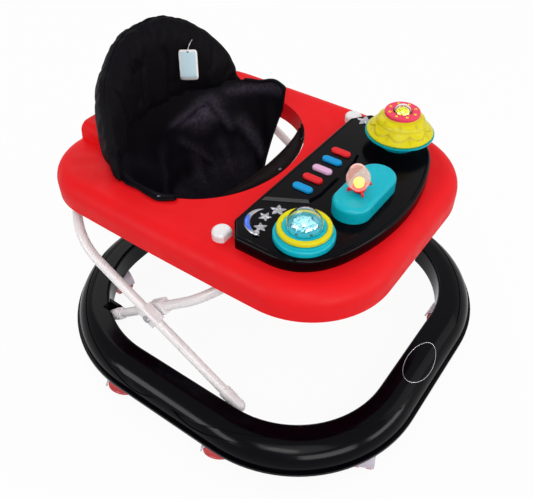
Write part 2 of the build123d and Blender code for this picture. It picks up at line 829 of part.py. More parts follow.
# Toy tray
def toy_outline(inset):
    with BuildSketch() as s:
        with BuildLine():
            Polyline((toy_front_x, toy_front_y), (toy_half_w, toy_side_front_y),
                     (toy_half_w, toy_side_rear_y), (toy_rear_x, toy_rear_y),
                     (-toy_rear_x, toy_rear_y), (-toy_half_w, toy_side_rear_y),
                     (-toy_half_w, toy_side_front_y), (-toy_front_x, toy_front_y))
            ThreePointArc((-toy_front_x, toy_front_y), (0, toy_nose_y),
                          (toy_front_x, toy_front_y))
        make_face()
        front = s.vertices().filter_by(lambda q: q.Y < toy_side_front_y + 1)
        fillet(s.vertices().filter_by(lambda q: q.Y > toy_side_front_y + 1), 9)
        fillet(front, toy_corner_r)
    if inset:
        return offset(s.sketch, amount=-inset, kind=Kind.INTERSECTION)
    return s.sketch


def panel_outline(inset):
    with BuildSketch() as s:
        with BuildLine():
            Polyline((-panel_rear_x, toy_rear_y - toy_edge_r - 1),
                     (-panel_side_x, panel_side_y), (-panel_front_x, panel_front_y),
                     (panel_front_x, panel_front_y), (panel_side_x, panel_side_y),
                     (panel_rear_x, toy_rear_y - toy_edge_r - 1), close=True)
        make_face()
    if inset:
        return offset(s.sketch, amount=-inset, kind=Kind.INTERSECTION)
    return s.sketch


def toy_form(skin):
    with BuildPart() as p:
        with BuildSketch(Plane.XY.offset(tray_z)):
            add(toy_outline(skin))
        extrude(amount=toy_h - skin)
        fillet(p.faces().sort_by(Axis.Z)[-1].edges(), toy_edge_r - skin)
        with BuildSketch(Plane.XY.offset(toy_top - skin - 1)):
            add(panel_outline(skin))
        extrude(amount=panel_h + 1, taper=40)
    return p.part


with BuildPart() as toy_shell:
    add(toy_form(0))
    add(toy_form(toy_wall), mode=Mode.SUBTRACT)
    with BuildSketch(Plane.XY.offset(toy_top)):
        for x in button_x:
            with Locations((x, button_y)):
                SlotOverall(button_len + 2 * button_gap, button_w + 2 * button_gap,
                            rotation=90)
    extrude(amount=3 * panel_h, both=True, mode=Mode.SUBTRACT)
save(toy_shell.part, "toy_tray_top")

plate_t = 2.5
board_z = tray_z + plate_t + 6.5
board_t = 1.6
board_len = 150.0
board_w = 36.0
cell_r = 7.25
cell_len = 50.5
cell_x = 36.0
cell_y = -196.0
door_gap = 0.4
with BuildPart() as toy_plate:
    with BuildSketch(Plane.XY.offset(tray_z)):
        add(toy_outline(toy_wall + toy_gap))
        with Locations((cell_x, cell_y)):
            Rectangle(2 * cell_len + 8, 2 * cell_r + 4, mode=Mode.SUBTRACT)
    extrude(amount=plate_t)
    with BuildSketch(Plane.XY.offset(tray_z + plate_t)):
        with Locations((0, button_y)):
            with GridLocations(board_len - 10, board_w - 8, 2, 2):
                Circle(3)
    extrude(amount=board_z - tray_z - plate_t)
save(toy_plate.part, "toy_tray_plate")
with BuildPart() as door:
    with BuildSketch(Plane.XY.offset(tray_z)):
        with Locations((cell_x, cell_y)):
            Rectangle(2 * cell_len + 8 - 2 * door_gap, 2 * cell_r + 4 - 2 * door_gap)
    extrude(amount=plate_t)
save(door.part, "battery_door")
with BuildPart() as cells:
    for s in sides:
        with Locations(Location((cell_x + s * (cell_len + 2) / 2, cell_y,
                                 tray_z + plate_t + cell_r), (0, 90, 0))):
            Cylinder(cell_r, cell_len)
        with Locations(Location((cell_x + s * (cell_len + 2) / 2 + cell_len / 2,
                                 cell_y, tray_z + plate_t + cell_r), (0, 90, 0))):
            Cylinder(2.7, 1.2, align=(Align.CENTER, Align.CENTER, Align.MIN))
save(cells.part, "battery_cells")
button_base = panel_top - toy_wall - toy_gap - button_flange_t
switch_h = button_base - button_travel - 0.2 - board_z - board_t
with BuildPart() as board:
    with Locations((0, button_y, board_z)):
        Box(board_len, board_w, board_t,
            align=(Align.CENTER, Align.CENTER, Align.MIN))
    for x in button_x:
        with Locations((x, button_y, board_z + board_t)):
            Box(6, 6, switch_h, align=(Align.CENTER, Align.CENTER, Align.MIN))
save(board.part, "circuit_board")
with BuildPart() as speaker:
    with BuildSketch(Plane.XZ):
        with BuildLine():
            Polyline((0, 0), (10, 0), (10, 5), (19, 9), (20, 9), (20, 11),
                     (18, 11), (9, 7), (0, 8.5), (0, 0))
        make_face()
    revolve(axis=Axis.Z)
save(speaker.part.moved(Location((78, -150, tray_z + plate_t))), "speaker")

for i, x in enumerate(button_x):
    with BuildPart() as button:
        with BuildSketch(Plane.XY.offset(button_base)):
            with Locations((x, button_y)):
                SlotOverall(button_len, button_w, rotation=90)
        extrude(amount=panel_top + button_proud - button_base)
        fillet(button.faces().sort_by(Axis.Z)[-1].edges(), 2.2)
        with BuildSketch(Plane.XY.offset(button_base)):
            with Locations((x, button_y)):
                SlotOverall(button_len + 2 * button_flange,
                            button_w + 2 * button_flange, rotation=90)
        extrude(amount=button_flange_t)
    save(button.part, "button_%d" % (i + 1))


def star(radius):
    with BuildSketch() as s:
        RegularPolygon(radius * 0.47, 5, rotation=36)
        with PolarLocations(0, 5, start_angle=0):
            Polygon((0, -radius * 0.3), (0, radius * 0.3), (radius, 0),
                    align=None)
    return s.sketch


with BuildPart() as stars:
    for x, y, r in ((-110, -84, 11), (-132, -77, 8.5), (-154, -85, 8.5),
                    (165, -70, 12)):
        with BuildSketch(Plane.XY.offset(toy_top)):
            with Locations(Location((x, y, 0), (0, 0, 25))):
                add(star(r))
        extrude(amount=star_h)
save(stars.part, "star_ornaments")
with BuildPart() as moon:
    with BuildSketch(Plane.XY.offset(toy_top)):
        with Locations((moon_x, moon_y)):
            Circle(moon_r)
        with Locations((moon_x + moon_shift * cos(radians(moon_turn)),
                        moon_y + moon_shift * sin(radians(moon_turn)))):
            Circle(moon_r + moon_shift - moon_t, mode=Mode.SUBTRACT)
    extrude(amount=2 * star_h)
save(moon.part, "moon_lens")

# Bead dome with its turning ring
dome_deck = toy_top + dome_base_h + dome_step_h
ring_in = dome_ring_r - dome_ring_w
collar_r = ring_in - toy_gap
collar_h = dome_ring_h - 1.5
with BuildPart() as dome_base:
    with BuildSketch(Plane.XZ):
        with BuildLine():
            Polyline((0, 0), (dome_base_r, 0), (dome_base_r, dome_base_h - 3))
            ThreePointArc((dome_base_r, dome_base_h - 3),
                          (dome_base_r - 0.9, dome_base_h - 0.9),
                          (dome_base_r - 3, dome_base_h))
            Polyline((dome_base_r - 3, dome_base_h), (dome_step_r, dome_base_h),
                     (dome_step_r - 1, dome_base_h + dome_step_h),
                     (collar_r, dome_base_h + dome_step_h),
                     (collar_r, dome_base_h + dome_step_h + collar_h),
                     (dome_glass_r - 3, dome_base_h + dome_step_h + collar_h),
                     (dome_glass_r - 5, dome_base_h + dome_step_h + collar_h - 3),
                     (0, dome_base_h + dome_step_h + collar_h - 3), (0, 0))
        make_face()
    revolve(axis=Axis.Z)
save(dome_base.part.moved(Location((dome_x, dome_y, toy_top))), "dome_base")
with BuildPart() as dome_ring:
    with BuildSketch(Plane.XZ):
        with Locations(((dome_ring_r + ring_in) / 2, dome_ring_h / 2)):
            RectangleRounded(dome_ring_w, dome_ring_h, 3)
    revolve(axis=Axis.Z)
save(dome_ring.part.moved(Location((dome_x, dome_y, dome_deck + toy_gap))),
     "dome_ring")
glass_z = dome_deck + collar_h
with BuildPart() as glass:
    with BuildSketch(Plane.XZ):
        with BuildLine():
            Line((dome_glass_r - dome_glass_t, 0), (dome_glass_r, 0))
            ThreePointArc((dome_glass_r, 0), (dome_glass_r * sin(radians(45)),
                          dome_glass_r * sin(radians(45))), (0, dome_glass_r))
            Line((0, dome_glass_r), (0, dome_glass_r - dome_glass_t))
            inner = dome_glass_r - dome_glass_t
            ThreePointArc((0, inner), (inner * sin(radians(45)),
                          inner * sin(radians(45))), (inner, 0))
        make_face()
    revolve(axis=Axis.Z)
save(glass.part.moved(Location((dome_x, dome_y, glass_z))), "dome_glass")
with BuildPart() as beads:
    with Locations((dome_x, dome_y, glass_z - 3)):
        with PolarLocations(dome_glass_r - 12, 5, start_angle=20):
            with Locations((0, 0, bead_r)):
                Sphere(bead_r)
        with Locations((0, 0, bead_r * 1.3)):
            Sphere(bead_r * 1.3)
save(beads.part, "dome_beads")

# Rocket lever on its block
block_top = toy_top + block_h
rocket_z = block_top - rocket_drop
neck_reach = rocket_drop * sin(radians(rocket_tilt)) + rocket_neck_r
with BuildPart() as block:
    with BuildSketch(Plane.XY.offset(toy_top)):
        with Locations((block_x, block_y)):
            SlotOverall(block_len, block_w)
    extrude(amount=block_h)
    fillet(block.faces().sort_by(Axis.Z)[-1].edges(), block_round)
    with BuildSketch(Plane.XY.offset(toy_top)):
        with Locations((block_x, block_y)):
            SlotOverall(block_len - 2 * block_wall, block_w - 2 * block_wall)
    extrude(amount=block_h - block_wall, mode=Mode.SUBTRACT,)
    with Locations((rocket_x, block_y, rocket_z)):
        for s in sides:
            with Locations((0, s * (rocket_neck_r + 1 + rocket_boss / 2), 0)):
                Box(rocket_boss, rocket_boss, rocket_drop + 5,
                    align=(Align.CENTER, Align.CENTER, Align.CENTER))
    with BuildPart(mode=Mode.PRIVATE) as block_skin:
        with BuildSketch(Plane.XY.offset(toy_top)):
            with Locations((block_x, block_y)):
                SlotOverall(block_len, block_w)
        extrude(amount=block_h)
        fillet(block_skin.faces().sort_by(Axis.Z)[-1].edges(), block_round)
    add(block_skin.part, mode=Mode.INTERSECT)
    with BuildSketch(Plane.XY.offset(block_top - 1.5 * block_wall)):
        with Locations((rocket_x, block_y)):
            SlotOverall(2 * neck_reach + 6, 2 * rocket_neck_r + 2)
    extrude(amount=2 * block_wall, mode=Mode.SUBTRACT)
    with Locations(Location((rocket_x, block_y, rocket_z), (90, 0, 0))):
        Cylinder(rocket_pin_r + run_clear, 2 * (rocket_neck_r + 1 + rocket_boss) + 2,
                 mode=Mode.SUBTRACT)
save(block.part, "rocket_block")

lean = Location((rocket_x, block_y, rocket_z), (0, -rocket_tilt, 0))
with BuildPart() as lever:
    Cylinder(rocket_neck_r, fin_z + 2,
             align=(Align.CENTER, Align.CENTER, Align.MIN))
    Sphere(rocket_neck_r)
    with Locations(Location((0, 0, 0), (90, 0, 0))):
        Cylinder(rocket_pin_r, 2 * (rocket_neck_r + 1 + rocket_boss) - 2)
    with BuildSketch(Plane.XY.offset(fin_z)):
        Circle(capsule_r * 0.62)
    extrude(amount=3)
    for i in range(4):
        with BuildSketch(Plane.XZ.rotated((0, 0, 45 + 90 * i))):
            with BuildLine():
                Polyline((4, fin_z), (fin_r, fin_z - 1), (fin_r - 1, fin_z + 4))
                ThreePointArc((fin_r - 1, fin_z + 4),
                              (capsule_r * 0.86, fin_z + fin_h * 0.3),
                              (capsule_r * 0.66, fin_z + 3))
                Line((capsule_r * 0.66, fin_z + 3), (4, fin_z))
            make_face()
        extrude(amount=fin_t / 2, both=True)
save(lever.part.moved(lean), "rocket_lever")


def egg(skin, floor):
    with BuildSketch(Plane.XZ) as s:
        with BuildLine():
            low_r = capsule_r * 0.6 - skin
            Line((0, floor), (low_r, floor))
            Spline((low_r, floor), (capsule_r - skin, capsule_h * 0.42),
                   (capsule_r * 0.72 - skin, capsule_h * 0.82),
                   (0, capsule_h - skin),
                   tangents=((0.5, 1), (-1, 0)))
            Line((0, capsule_h - skin), (0, floor))
        make_face()
    return s.sketch


with BuildPart() as capsule:
    add(egg(0, 0))
    revolve(axis=Axis.Z)
    with BuildPart(mode=Mode.PRIVATE) as hollow:
        add(egg(capsule_t, -1))
        revolve(axis=Axis.Z)
    add(hollow.part, mode=Mode.SUBTRACT)
save(capsule.part.moved(Location((0, 0, fin_z + 3))).moved(lean), "rocket_capsule")
with BuildPart() as lamp:
    Cylinder(lamp_r, 9, align=(Align.CENTER, Align.CENTER, Align.MIN))
    with Locations((0, 0, 9)):
        Sphere(lamp_r)
save(lamp.part.moved(Location((0, 0, fin_z + 3))).moved(lean), "rocket_lamp")

# Spinner: flared foot, stepped saucer, ring and clear dome
rim_z = spin_rim_h
waist_z = rim_z + 2 + saucer_waist_h
crown_z = waist_z + saucer_top_h
post_top = crown_z - 1
with BuildPart() as spin_foot:
    with BuildSketch(Plane.XZ):
        with BuildLine():
            Polyline((0, 0), (spin_foot_r, 0))
            ThreePointArc((spin_foot_r, 0), (spin_foot_r + 3, spin_foot_h),
                          (spin_rim_r - 8, rim_z - 5))
            Polyline((spin_rim_r - 8, rim_z - 5), (spin_rim_r, rim_z - 3),
                     (spin_rim_r, rim_z - 0.5), (spin_rim_r - 9, rim_z - 2.5))
            ThreePointArc((spin_rim_r - 9, rim_z - 2.5),
                          (spin_foot_r + 0.6, spin_foot_h + 1.5),
                          (spin_foot_r - 2.5, 3))
            Polyline((spin_foot_r - 2.5, 3), (spin_post_r, 3),
                     (spin_post_r, post_top - 4), (0, post_top - 4), (0, 0))
        make_face()
    revolve(axis=Axis.Z)
spin_spot = Location((spin_x, spin_y, toy_top))
save(spin_foot.part.moved(spin_spot), "spinner_foot")


def saucer_profile(skin):
    top = crown_z - skin
    with BuildSketch(Plane.XZ) as s:
        with BuildLine():
            Polyline((0, rim_z), (spin_rim_r - skin, rim_z),
                     (spin_rim_r - skin, rim_z + 2 - skin / 2))
            ThreePointArc((spin_rim_r - skin, rim_z + 2 - skin / 2),
                          ((spin_rim_r + saucer_waist_r) / 2 - skin + 1.5,
                           (rim_z + waist_z) / 2 - skin / 2 + 1.5),
                          (saucer_waist_r - skin, waist_z - skin))
            ThreePointArc((saucer_waist_r - skin, waist_z - skin),
                          ((saucer_waist_r + saucer_top_r) / 2 - skin + 1.5,
                           (waist_z + crown_z) / 2 - skin + 1),
                          (saucer_top_r - skin, top))
            Polyline((saucer_top_r - skin, top), (0, top), (0, rim_z))
        make_face()
    return s.sketch


with BuildPart() as saucer:
    add(saucer_profile(0))
    revolve(axis=Axis.Z)
    with BuildPart(mode=Mode.PRIVATE) as saucer_room:
        add(saucer_profile(saucer_wall))
        revolve(axis=Axis.Z)
    add(saucer_room.part, mode=Mode.SUBTRACT)
    # hub on the post
    with Locations((0, 0, waist_z - 6)):
        Cylinder(spin_post_r + 3, crown_z - waist_z + 5,
                 align=(Align.CENTER, Align.CENTER, Align.MIN))
    Cylinder(spin_post_r + run_clear, post_top - 3.5,
             align=(Align.CENTER, Align.CENTER, Align.MIN), mode=Mode.SUBTRACT)
    with PolarLocations((spin_ring_hole + saucer_top_r) / 2, spin_dots):
        with Locations((0, 0, crown_z)):
            Cylinder(spin_dot_r, spin_ring_t + 0.5,
                     align=(Align.CENTER, Align.CENTER, Align.MIN))
save(saucer.part.moved(spin_spot), "spinner_saucer")
with BuildPart() as spin_ring:
    with BuildSketch(Plane.XY.offset(crown_z)):
        Circle(saucer_top_r + 0.5)
        Circle(spin_ring_hole, mode=Mode.SUBTRACT)
        with PolarLocations((spin_ring_hole + saucer_top_r) / 2, spin_dots):
            Circle(spin_dot_r, mode=Mode.SUBTRACT)
    extrude(amount=spin_ring_t)
    fillet(spin_ring.edges().filter_by(GeomType.CIRCLE).sort_by(
        SortBy.RADIUS)[-2:].sort_by(Axis.Z)[-1:], 1.5)
save(spin_ring.part.moved(spin_spot), "spinner_ring")
with BuildPart() as spin_dome:
    with BuildSketch(Plane.XZ):
        r0 = spin_ring_hole - 0.2
        r1 = r0 - spin_dome_t
        with BuildLine():
            Line((r1, crown_z), (r0, crown_z))
            ThreePointArc((r0, crown_z), (r0 * sin(radians(45)), crown_z + r0 * sin(radians(45))),
                          (0, crown_z + r0))
            Line((0, crown_z + r0), (0, crown_z + r1))
            ThreePointArc((0, crown_z + r1), (r1 * sin(radians(45)), crown_z + r1 * sin(radians(45))),
                          (r1, crown_z))
        make_face()
    revolve(axis=Axis.Z)
save(spin_dome.part.moved(spin_spot), "spinner_dome")

# Latches that hold the toy tray down
for s, name in zip(sides, ("latch_right", "latch_left")):
    with BuildPart() as latch:
        with BuildSketch(Plane.XY.offset(tray_z + toy_gap)):
            Circle(latch_r)
            with Locations((0, -latch_r * 0.75)):
                Rectangle(4 * latch_r, 4 * latch_r, align=(Align.CENTER, Align.MAX),
                          rotation=0, mode=Mode.SUBTRACT)
        extrude(amount=latch_h)
        fillet(latch.faces().sort_by(Axis.Z)[-1].edges(), 6)
        with Locations((0, 0, tray_z + toy_gap)):
            Box(latch_stem, latch_stem, tray_wall + 2 * toy_gap,
                align=(Align.CENTER, Align.CENTER, Align.MAX))
        with Locations((0, 0, tray_z - tray_wall - toy_gap)):
            Box(latch_stem + 8, latch_stem + 8, 2.5,
                align=(Align.CENTER, Align.CENTER, Align.MAX))
    save(latch.part.moved(Location((s * latch_x, latch_y, 0))), name)
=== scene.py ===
"""Finishes, soft seat and small toys of a sit-in baby walker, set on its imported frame."""

import json
from functools import cache
from math import pi

import bmesh
import bpy
import numpy as np
from bpy.props import FloatProperty, FloatVectorProperty, IntProperty, PointerProperty
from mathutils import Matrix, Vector


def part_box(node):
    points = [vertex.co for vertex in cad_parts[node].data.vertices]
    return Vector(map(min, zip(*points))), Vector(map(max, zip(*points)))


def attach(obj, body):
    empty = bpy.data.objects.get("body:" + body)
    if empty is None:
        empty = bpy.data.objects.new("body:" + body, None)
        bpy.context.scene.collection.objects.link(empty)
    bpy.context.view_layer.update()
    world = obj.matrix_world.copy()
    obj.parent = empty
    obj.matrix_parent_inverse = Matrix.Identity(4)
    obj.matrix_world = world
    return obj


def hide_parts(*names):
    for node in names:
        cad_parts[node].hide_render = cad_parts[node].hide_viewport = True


bl_info = {
    "name": "Baby walker",
    "version": (1, 0, 0),
    "blender": (4, 5, 0),
    "location": "View3D > Sidebar > Walker",
    "description": "Finishes, padded seat and toys of a sit-in baby walker",
    "category": "Object",
}

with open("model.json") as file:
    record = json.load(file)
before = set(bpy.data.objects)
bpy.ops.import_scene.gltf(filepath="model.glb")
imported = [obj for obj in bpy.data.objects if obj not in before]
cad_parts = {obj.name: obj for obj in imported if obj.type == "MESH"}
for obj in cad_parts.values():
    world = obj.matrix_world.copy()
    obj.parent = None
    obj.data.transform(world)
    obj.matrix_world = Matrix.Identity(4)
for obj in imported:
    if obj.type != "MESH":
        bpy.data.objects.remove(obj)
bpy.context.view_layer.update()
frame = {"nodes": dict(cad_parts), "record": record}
NODES = frame["nodes"]

# opening of the tray, an ellipse in plan: its middle along Y, half its width and half its depth
OPENING_Y, OPENING_A, OPENING_B = 0.121, 0.166, 0.143
# share of the sling's length, from its back, that is above the opening's rim
FLAP = 0.125
# where the light comes from that the seat's painted highlight stands for
TO_LIGHT = np.array([-0.34, -0.31, 0.888])
# nose of the toy tray, an arc in plan: its centre along Y, its radius and half its turn in degrees
NOSE_Y, NOSE_R, NOSE_TURN = 0.10855, 0.33955, 27.74
# crescent on the toy tray: centre and radius of the arc that it follows
MOON_X, MOON_Y, MOON_R = -0.139, -0.088, 0.030


def linear(code):
    """Linear colour with alpha from an sRGB hex value: each channel through the sRGB curve."""
    c = np.array([int(code[i : i + 2], 16) for i in (1, 3, 5)]) / 255
    c = np.where(c <= 0.04045, c / 12.92, ((c + 0.055) / 1.055) ** 2.4)
    return (*c.tolist(), 1.0)


def tint(name, description, code):
    """Settings of a colour property."""
    colour = linear(code)
    return dict(name=name, description=description, default=colour, size=4, min=0, max=1, subtype="COLOR")


def size(name, description, default):
    """Settings of a length property, in metres."""
    kind = dict(min=0, unit="LENGTH", subtype="DISTANCE")
    return dict(name=name, description=description, default=default, **kind)


def watts(name, description, default):
    """Settings of a light's power."""
    return dict(name=name, description=description, default=default, min=0, unit="POWER")


class WalkerFinishes(bpy.types.PropertyGroup):
    """Colours of the walker's materials"""

    rail_black: FloatVectorProperty(**tint("Rail black", "Moulded base ring", "#030206"))
    tray_red: FloatVectorProperty(**tint("Tray red", "Moulded upper tray", "#E8151C"))
    tube_white: FloatVectorProperty(**tint("Tube white", "Powder coat of the tubes", "#EDE9EA"))
    fitting_white: FloatVectorProperty(**tint("Fitting white", "Feet, sleeves and latches", "#EBE7E9"))
    wheel_red: FloatVectorProperty(**tint("Wheel red", "Caster wheels", "#C3242B"))
    hood_grey: FloatVectorProperty(**tint("Hood grey", "Caster hoods", "#C9C0CD"))
    seat_black: FloatVectorProperty(**tint("Seat black", "Woven seat cover", "#040206"))
    # colour of the painted highlight on the seat's folds, which also tints its sheen
    seat_painted_highlight: FloatVectorProperty(**tint("Seat nap", "Light side of the woven cover", "#5A5264"))
    band_brown: FloatVectorProperty(**tint("Band brown", "Coated band at the front of the seat", "#100607"))
    toy_black: FloatVectorProperty(**tint("Toy tray black", "Moulded toy tray", "#060306"))
    turquoise: FloatVectorProperty(**tint("Turquoise", "Rocket block, dome base, spinner foot", "#06B3C5"))
    yellow: FloatVectorProperty(**tint("Yellow", "Dome ring and spinner", "#E0D30E"))
    # colour of the painted shade in the spinner's creases
    yellow_shade: FloatVectorProperty(**tint("Yellow shade", "Creases of the spinner", "#B79E1C"))
    pink: FloatVectorProperty(**tint("Pink", "Spinner ring", "#EE3F62"))
    button_red: FloatVectorProperty(**tint("Button red", "Red keys and rocket fins", "#DE1F26"))
    button_blue: FloatVectorProperty(**tint("Button blue", "Blue keys", "#0392D2"))
    button_pink: FloatVectorProperty(**tint("Button pink", "Pale pink key", "#DFAFD2"))
    capsule_peach: FloatVectorProperty(**tint("Capsule peach", "Clear rocket capsule", "#FBD5CB"))
    lamp_yellow: FloatVectorProperty(**tint("Lamp yellow", "Lit rocket lamp", "#FFD83A"))
    lens_blue: FloatVectorProperty(**tint("Lens blue", "Lens of the crescent", "#1C55C8"))
    bead_teal: FloatVectorProperty(**tint("Bead teal", "Small beads in the dome", "#0E5560"))
    tag_blue: FloatVectorProperty(**tint("Tag blue", "Panel of the blank tag", "#CFEDF9"))


class WalkerSeat(bpy.types.PropertyGroup):
    """Sizes of the padded back and the sling"""

    back_mid_r: FloatProperty(**size("Back radius", "Bend of the back's middle in plan", 0.207))
    back_centre_y: FloatProperty(**size("Back centre", "Where the back's bend is centred, along Y", 0.056))
    back_mid_z: FloatProperty(**size("Back middle", "Height of the pad's middle", 0.430))
    back_half_t: FloatProperty(**size("Back half thickness", "Half of the foam before it swells", 0.0168))
    piping_r: FloatProperty(**size("Piping", "Radius of the sewn edge", 0.0013))
    hem_w: FloatProperty(**size("Hem", "Width of the bound edges", 0.0085))
    cloth_t: FloatProperty(**size("Cloth", "Thickness of the sling", 0.0022))
    chord_y: FloatProperty(**size("Front edge", "Middle of the sling's front edge, along Y", 0.0135))
    stud_r: FloatProperty(**size("Stud", "Radius of a snap stud", 0.0034))


class WalkerToys(bpy.types.PropertyGroup):
    """Sizes of the small toys and the blank labels"""

    petals: IntProperty(name="Petals", description="Petals of the spinner's skirt", default=8, min=3, max=24)
    petal_depth: FloatProperty(**size("Petal depth", "How far a petal swells", 0.0030))
    star_peak: FloatProperty(**size("Star peak", "Height of a star over its edge", 0.0030))
    tag_w: FloatProperty(**size("Tag width", "Width of the blank tag", 0.0313))
    tag_h: FloatProperty(**size("Tag height", "Height of the blank tag", 0.0515))
    plate_half_w: FloatProperty(**size("Plate half width", "Half of the blank oval on the base", 0.046))
    plate_half_h: FloatProperty(**size("Plate half depth", "Half of the oval across the rail", 0.021))


class WalkerStage(bpy.types.PropertyGroup):
    """Light and camera"""

    key_power: FloatProperty(**watts("Key", "Power of the large key light", 34.0))
    fill_power: FloatProperty(**watts("Fill", "Power of the fill light", 12.0))
    rim_power: FloatProperty(**watts("Rim", "Power of the light from behind", 12.0))
    sky: FloatProperty(name="Sky", description="Strength of the white room light", default=0.62, min=0)
    strip_glow: FloatProperty(
        name="Strips", description="Brightness of the strips seen in the gloss", default=12.0, min=0
    )
    lens: FloatProperty(
        name="Lens",
        description="Focal length in millimetres",
        default=43.89,
        min=1,
        subtype="DISTANCE_CAMERA",
    )


GROUPS = {
    "walker_finishes": WalkerFinishes,
    "walker_seat": WalkerSeat,
    "walker_toys": WalkerToys,
    "walker_stage": WalkerStage,
}


# values between which most of a noise lies
NOISE = {"From Min": 0.3, "From Max": 0.7}
MID_NOISE = {"From Min": 0.35, "From Max": 0.65}


def add(tree, kind, links=None, **settings):
    """Adds a shader node; links gives an input its value, or the socket that feeds it."""
    node = tree.nodes.new("ShaderNode" + kind)
    for key, value in settings.items():
        setattr(node, key, value)
    for key, value in (links or {}).items():
        if isinstance(value, bpy.types.NodeSocket):
            tree.links.new(value, node.inputs[key])
        else:
            node.inputs[key].default_value = value
    return node


def start(name):
    """New material with an empty tree, and the outputs of its texture coordinates."""
    material = bpy.data.materials.get(name) or bpy.data.materials.new(name)
    material.use_nodes = True
    tree = material.node_tree
    tree.nodes.clear()
    return material, tree, add(tree, "TexCoord").outputs


def moulded(name, colour, rough, peel_mm, peel, level, mottle=0.05, shade=None):
    """Injection-moulded plastic: even colour that drifts a little over 70 mm of flow, gloss that
    varies over 24 mm where the tool was polished, and a fine orange-peel skin. shade is the colour
    of a painted shade, laid on where the mesh's attribute of painted shade is high."""
    material, tree, at = start(name)
    drift = add(tree, "TexNoise", {"Vector": at["Object"], "Scale": 1000 / 70, "Detail": 3.0})
    tone = {"Value": drift.outputs[0], **NOISE, "To Min": 1 - mottle, "To Max": 1 + mottle}
    tone = add(tree, "MapRange", tone)
    body = add(tree, "HueSaturation", {"Color": colour, "Value": tone.outputs[0]})
    if shade is not None:
        painted_shade = add(tree, "Attribute", attribute_name="painted_shade")
        mix = {"Fac": painted_shade.outputs["Fac"], "Color1": body.outputs[0], "Color2": shade}
        body = add(tree, "MixRGB", mix)
    polish = add(tree, "TexNoise", {"Vector": at["Object"], "Scale": 1000 / 24, "Detail": 2.0})
    gloss = {"Value": polish.outputs[0], **NOISE, "To Min": rough * 0.85, "To Max": rough * 1.15}
    gloss = add(tree, "MapRange", gloss)
    skin = add(tree, "TexNoise", {"Vector": at["Object"], "Scale": 1000 / peel_mm, "Detail": 1.0})
    bump = add(tree, "Bump", {"Height": skin.outputs[0], "Strength": peel, "Distance": 0.0004})
    plastic = add(
        tree,
        "BsdfPrincipled",
        {
            "Base Color": body.outputs[0],
            "Roughness": gloss.outputs[0],
            "IOR": 1.49,
            "Specular IOR Level": level,
            "Normal": bump.outputs[0],
        },
    )
    add(tree, "OutputMaterial", {"Surface": plastic.outputs[0]})
    return material


def clear(name, colour, rough=0.02, ior=1.45, glow=0.0):
    """Clear moulded polystyrene: thin, colourless or tinted in the mass, with the faint waves of a
    cheap tool over 9 mm. glow is a painted glow: the shell's own emission in its colour."""
    material, tree, at = start(name)
    wave = add(tree, "TexNoise", {"Vector": at["Object"], "Scale": 1000 / 9, "Detail": 1.0})
    bump = add(tree, "Bump", {"Height": wave.outputs[0], "Strength": 0.06, "Distance": 0.0005})
    glass = add(
        tree,
        "BsdfPrincipled",
        {
            "Base Color": colour,
            "Roughness": rough,
            "IOR": ior,
            "Transmission Weight": 1.0,
            "Emission Color": colour,
            "Emission Strength": glow,
            "Normal": bump.outputs[0],
        },
    )
    add(tree, "OutputMaterial", {"Surface": glass.outputs[0]})
    return material


def metal(name, colour, rough, grain_mm):
    """Bright metal or vacuum plating: clear reflections broken by a fine grain."""
    material, tree, at = start(name)
    grain = add(tree, "TexNoise", {"Vector": at["Object"], "Scale": 1000 / grain_mm, "Detail": 3.0})
    gloss = {"Value": grain.outputs[0], **NOISE, "To Min": rough * 0.7, "To Max": rough * 1.4}
    gloss = add(tree, "MapRange", gloss)
    bump = add(tree, "Bump", {"Height": grain.outputs[0], "Strength": 0.08, "Distance": 0.0002})
    bright = add(
        tree,
        "BsdfPrincipled",
        {"Base Color": colour, "Metallic": 1.0, "Roughness": gloss.outputs[0], "Normal": bump.outputs[0]},
    )
    add(tree, "OutputMaterial", {"Surface": bright.outputs[0]})
    return material


def lit(name, colour, strength):
    """Moulded lamp or lens that glows: brighter in blotches of 8 mm, as a bulb shows through it."""
    material, tree, at = start(name)
    blotch = add(tree, "TexNoise", {"Vector": at["Object"], "Scale": 1000 / 8, "Detail": 1.0})
    power = {"Value": blotch.outputs[0], **MID_NOISE, "To Min": strength * 0.35, "To Max": strength}
    power = add(tree, "MapRange", power)
    lamp = add(
        tree,
        "BsdfPrincipled",
        {
            "Base Color": colour,
            "Roughness": 0.18,
            "Emission Color": colour,
            "Emission Strength": power.outputs[0],
            "Coat Weight": 0.5,
        },
    )
    add(tree, "OutputMaterial", {"Surface": lamp.outputs[0]})
    return material


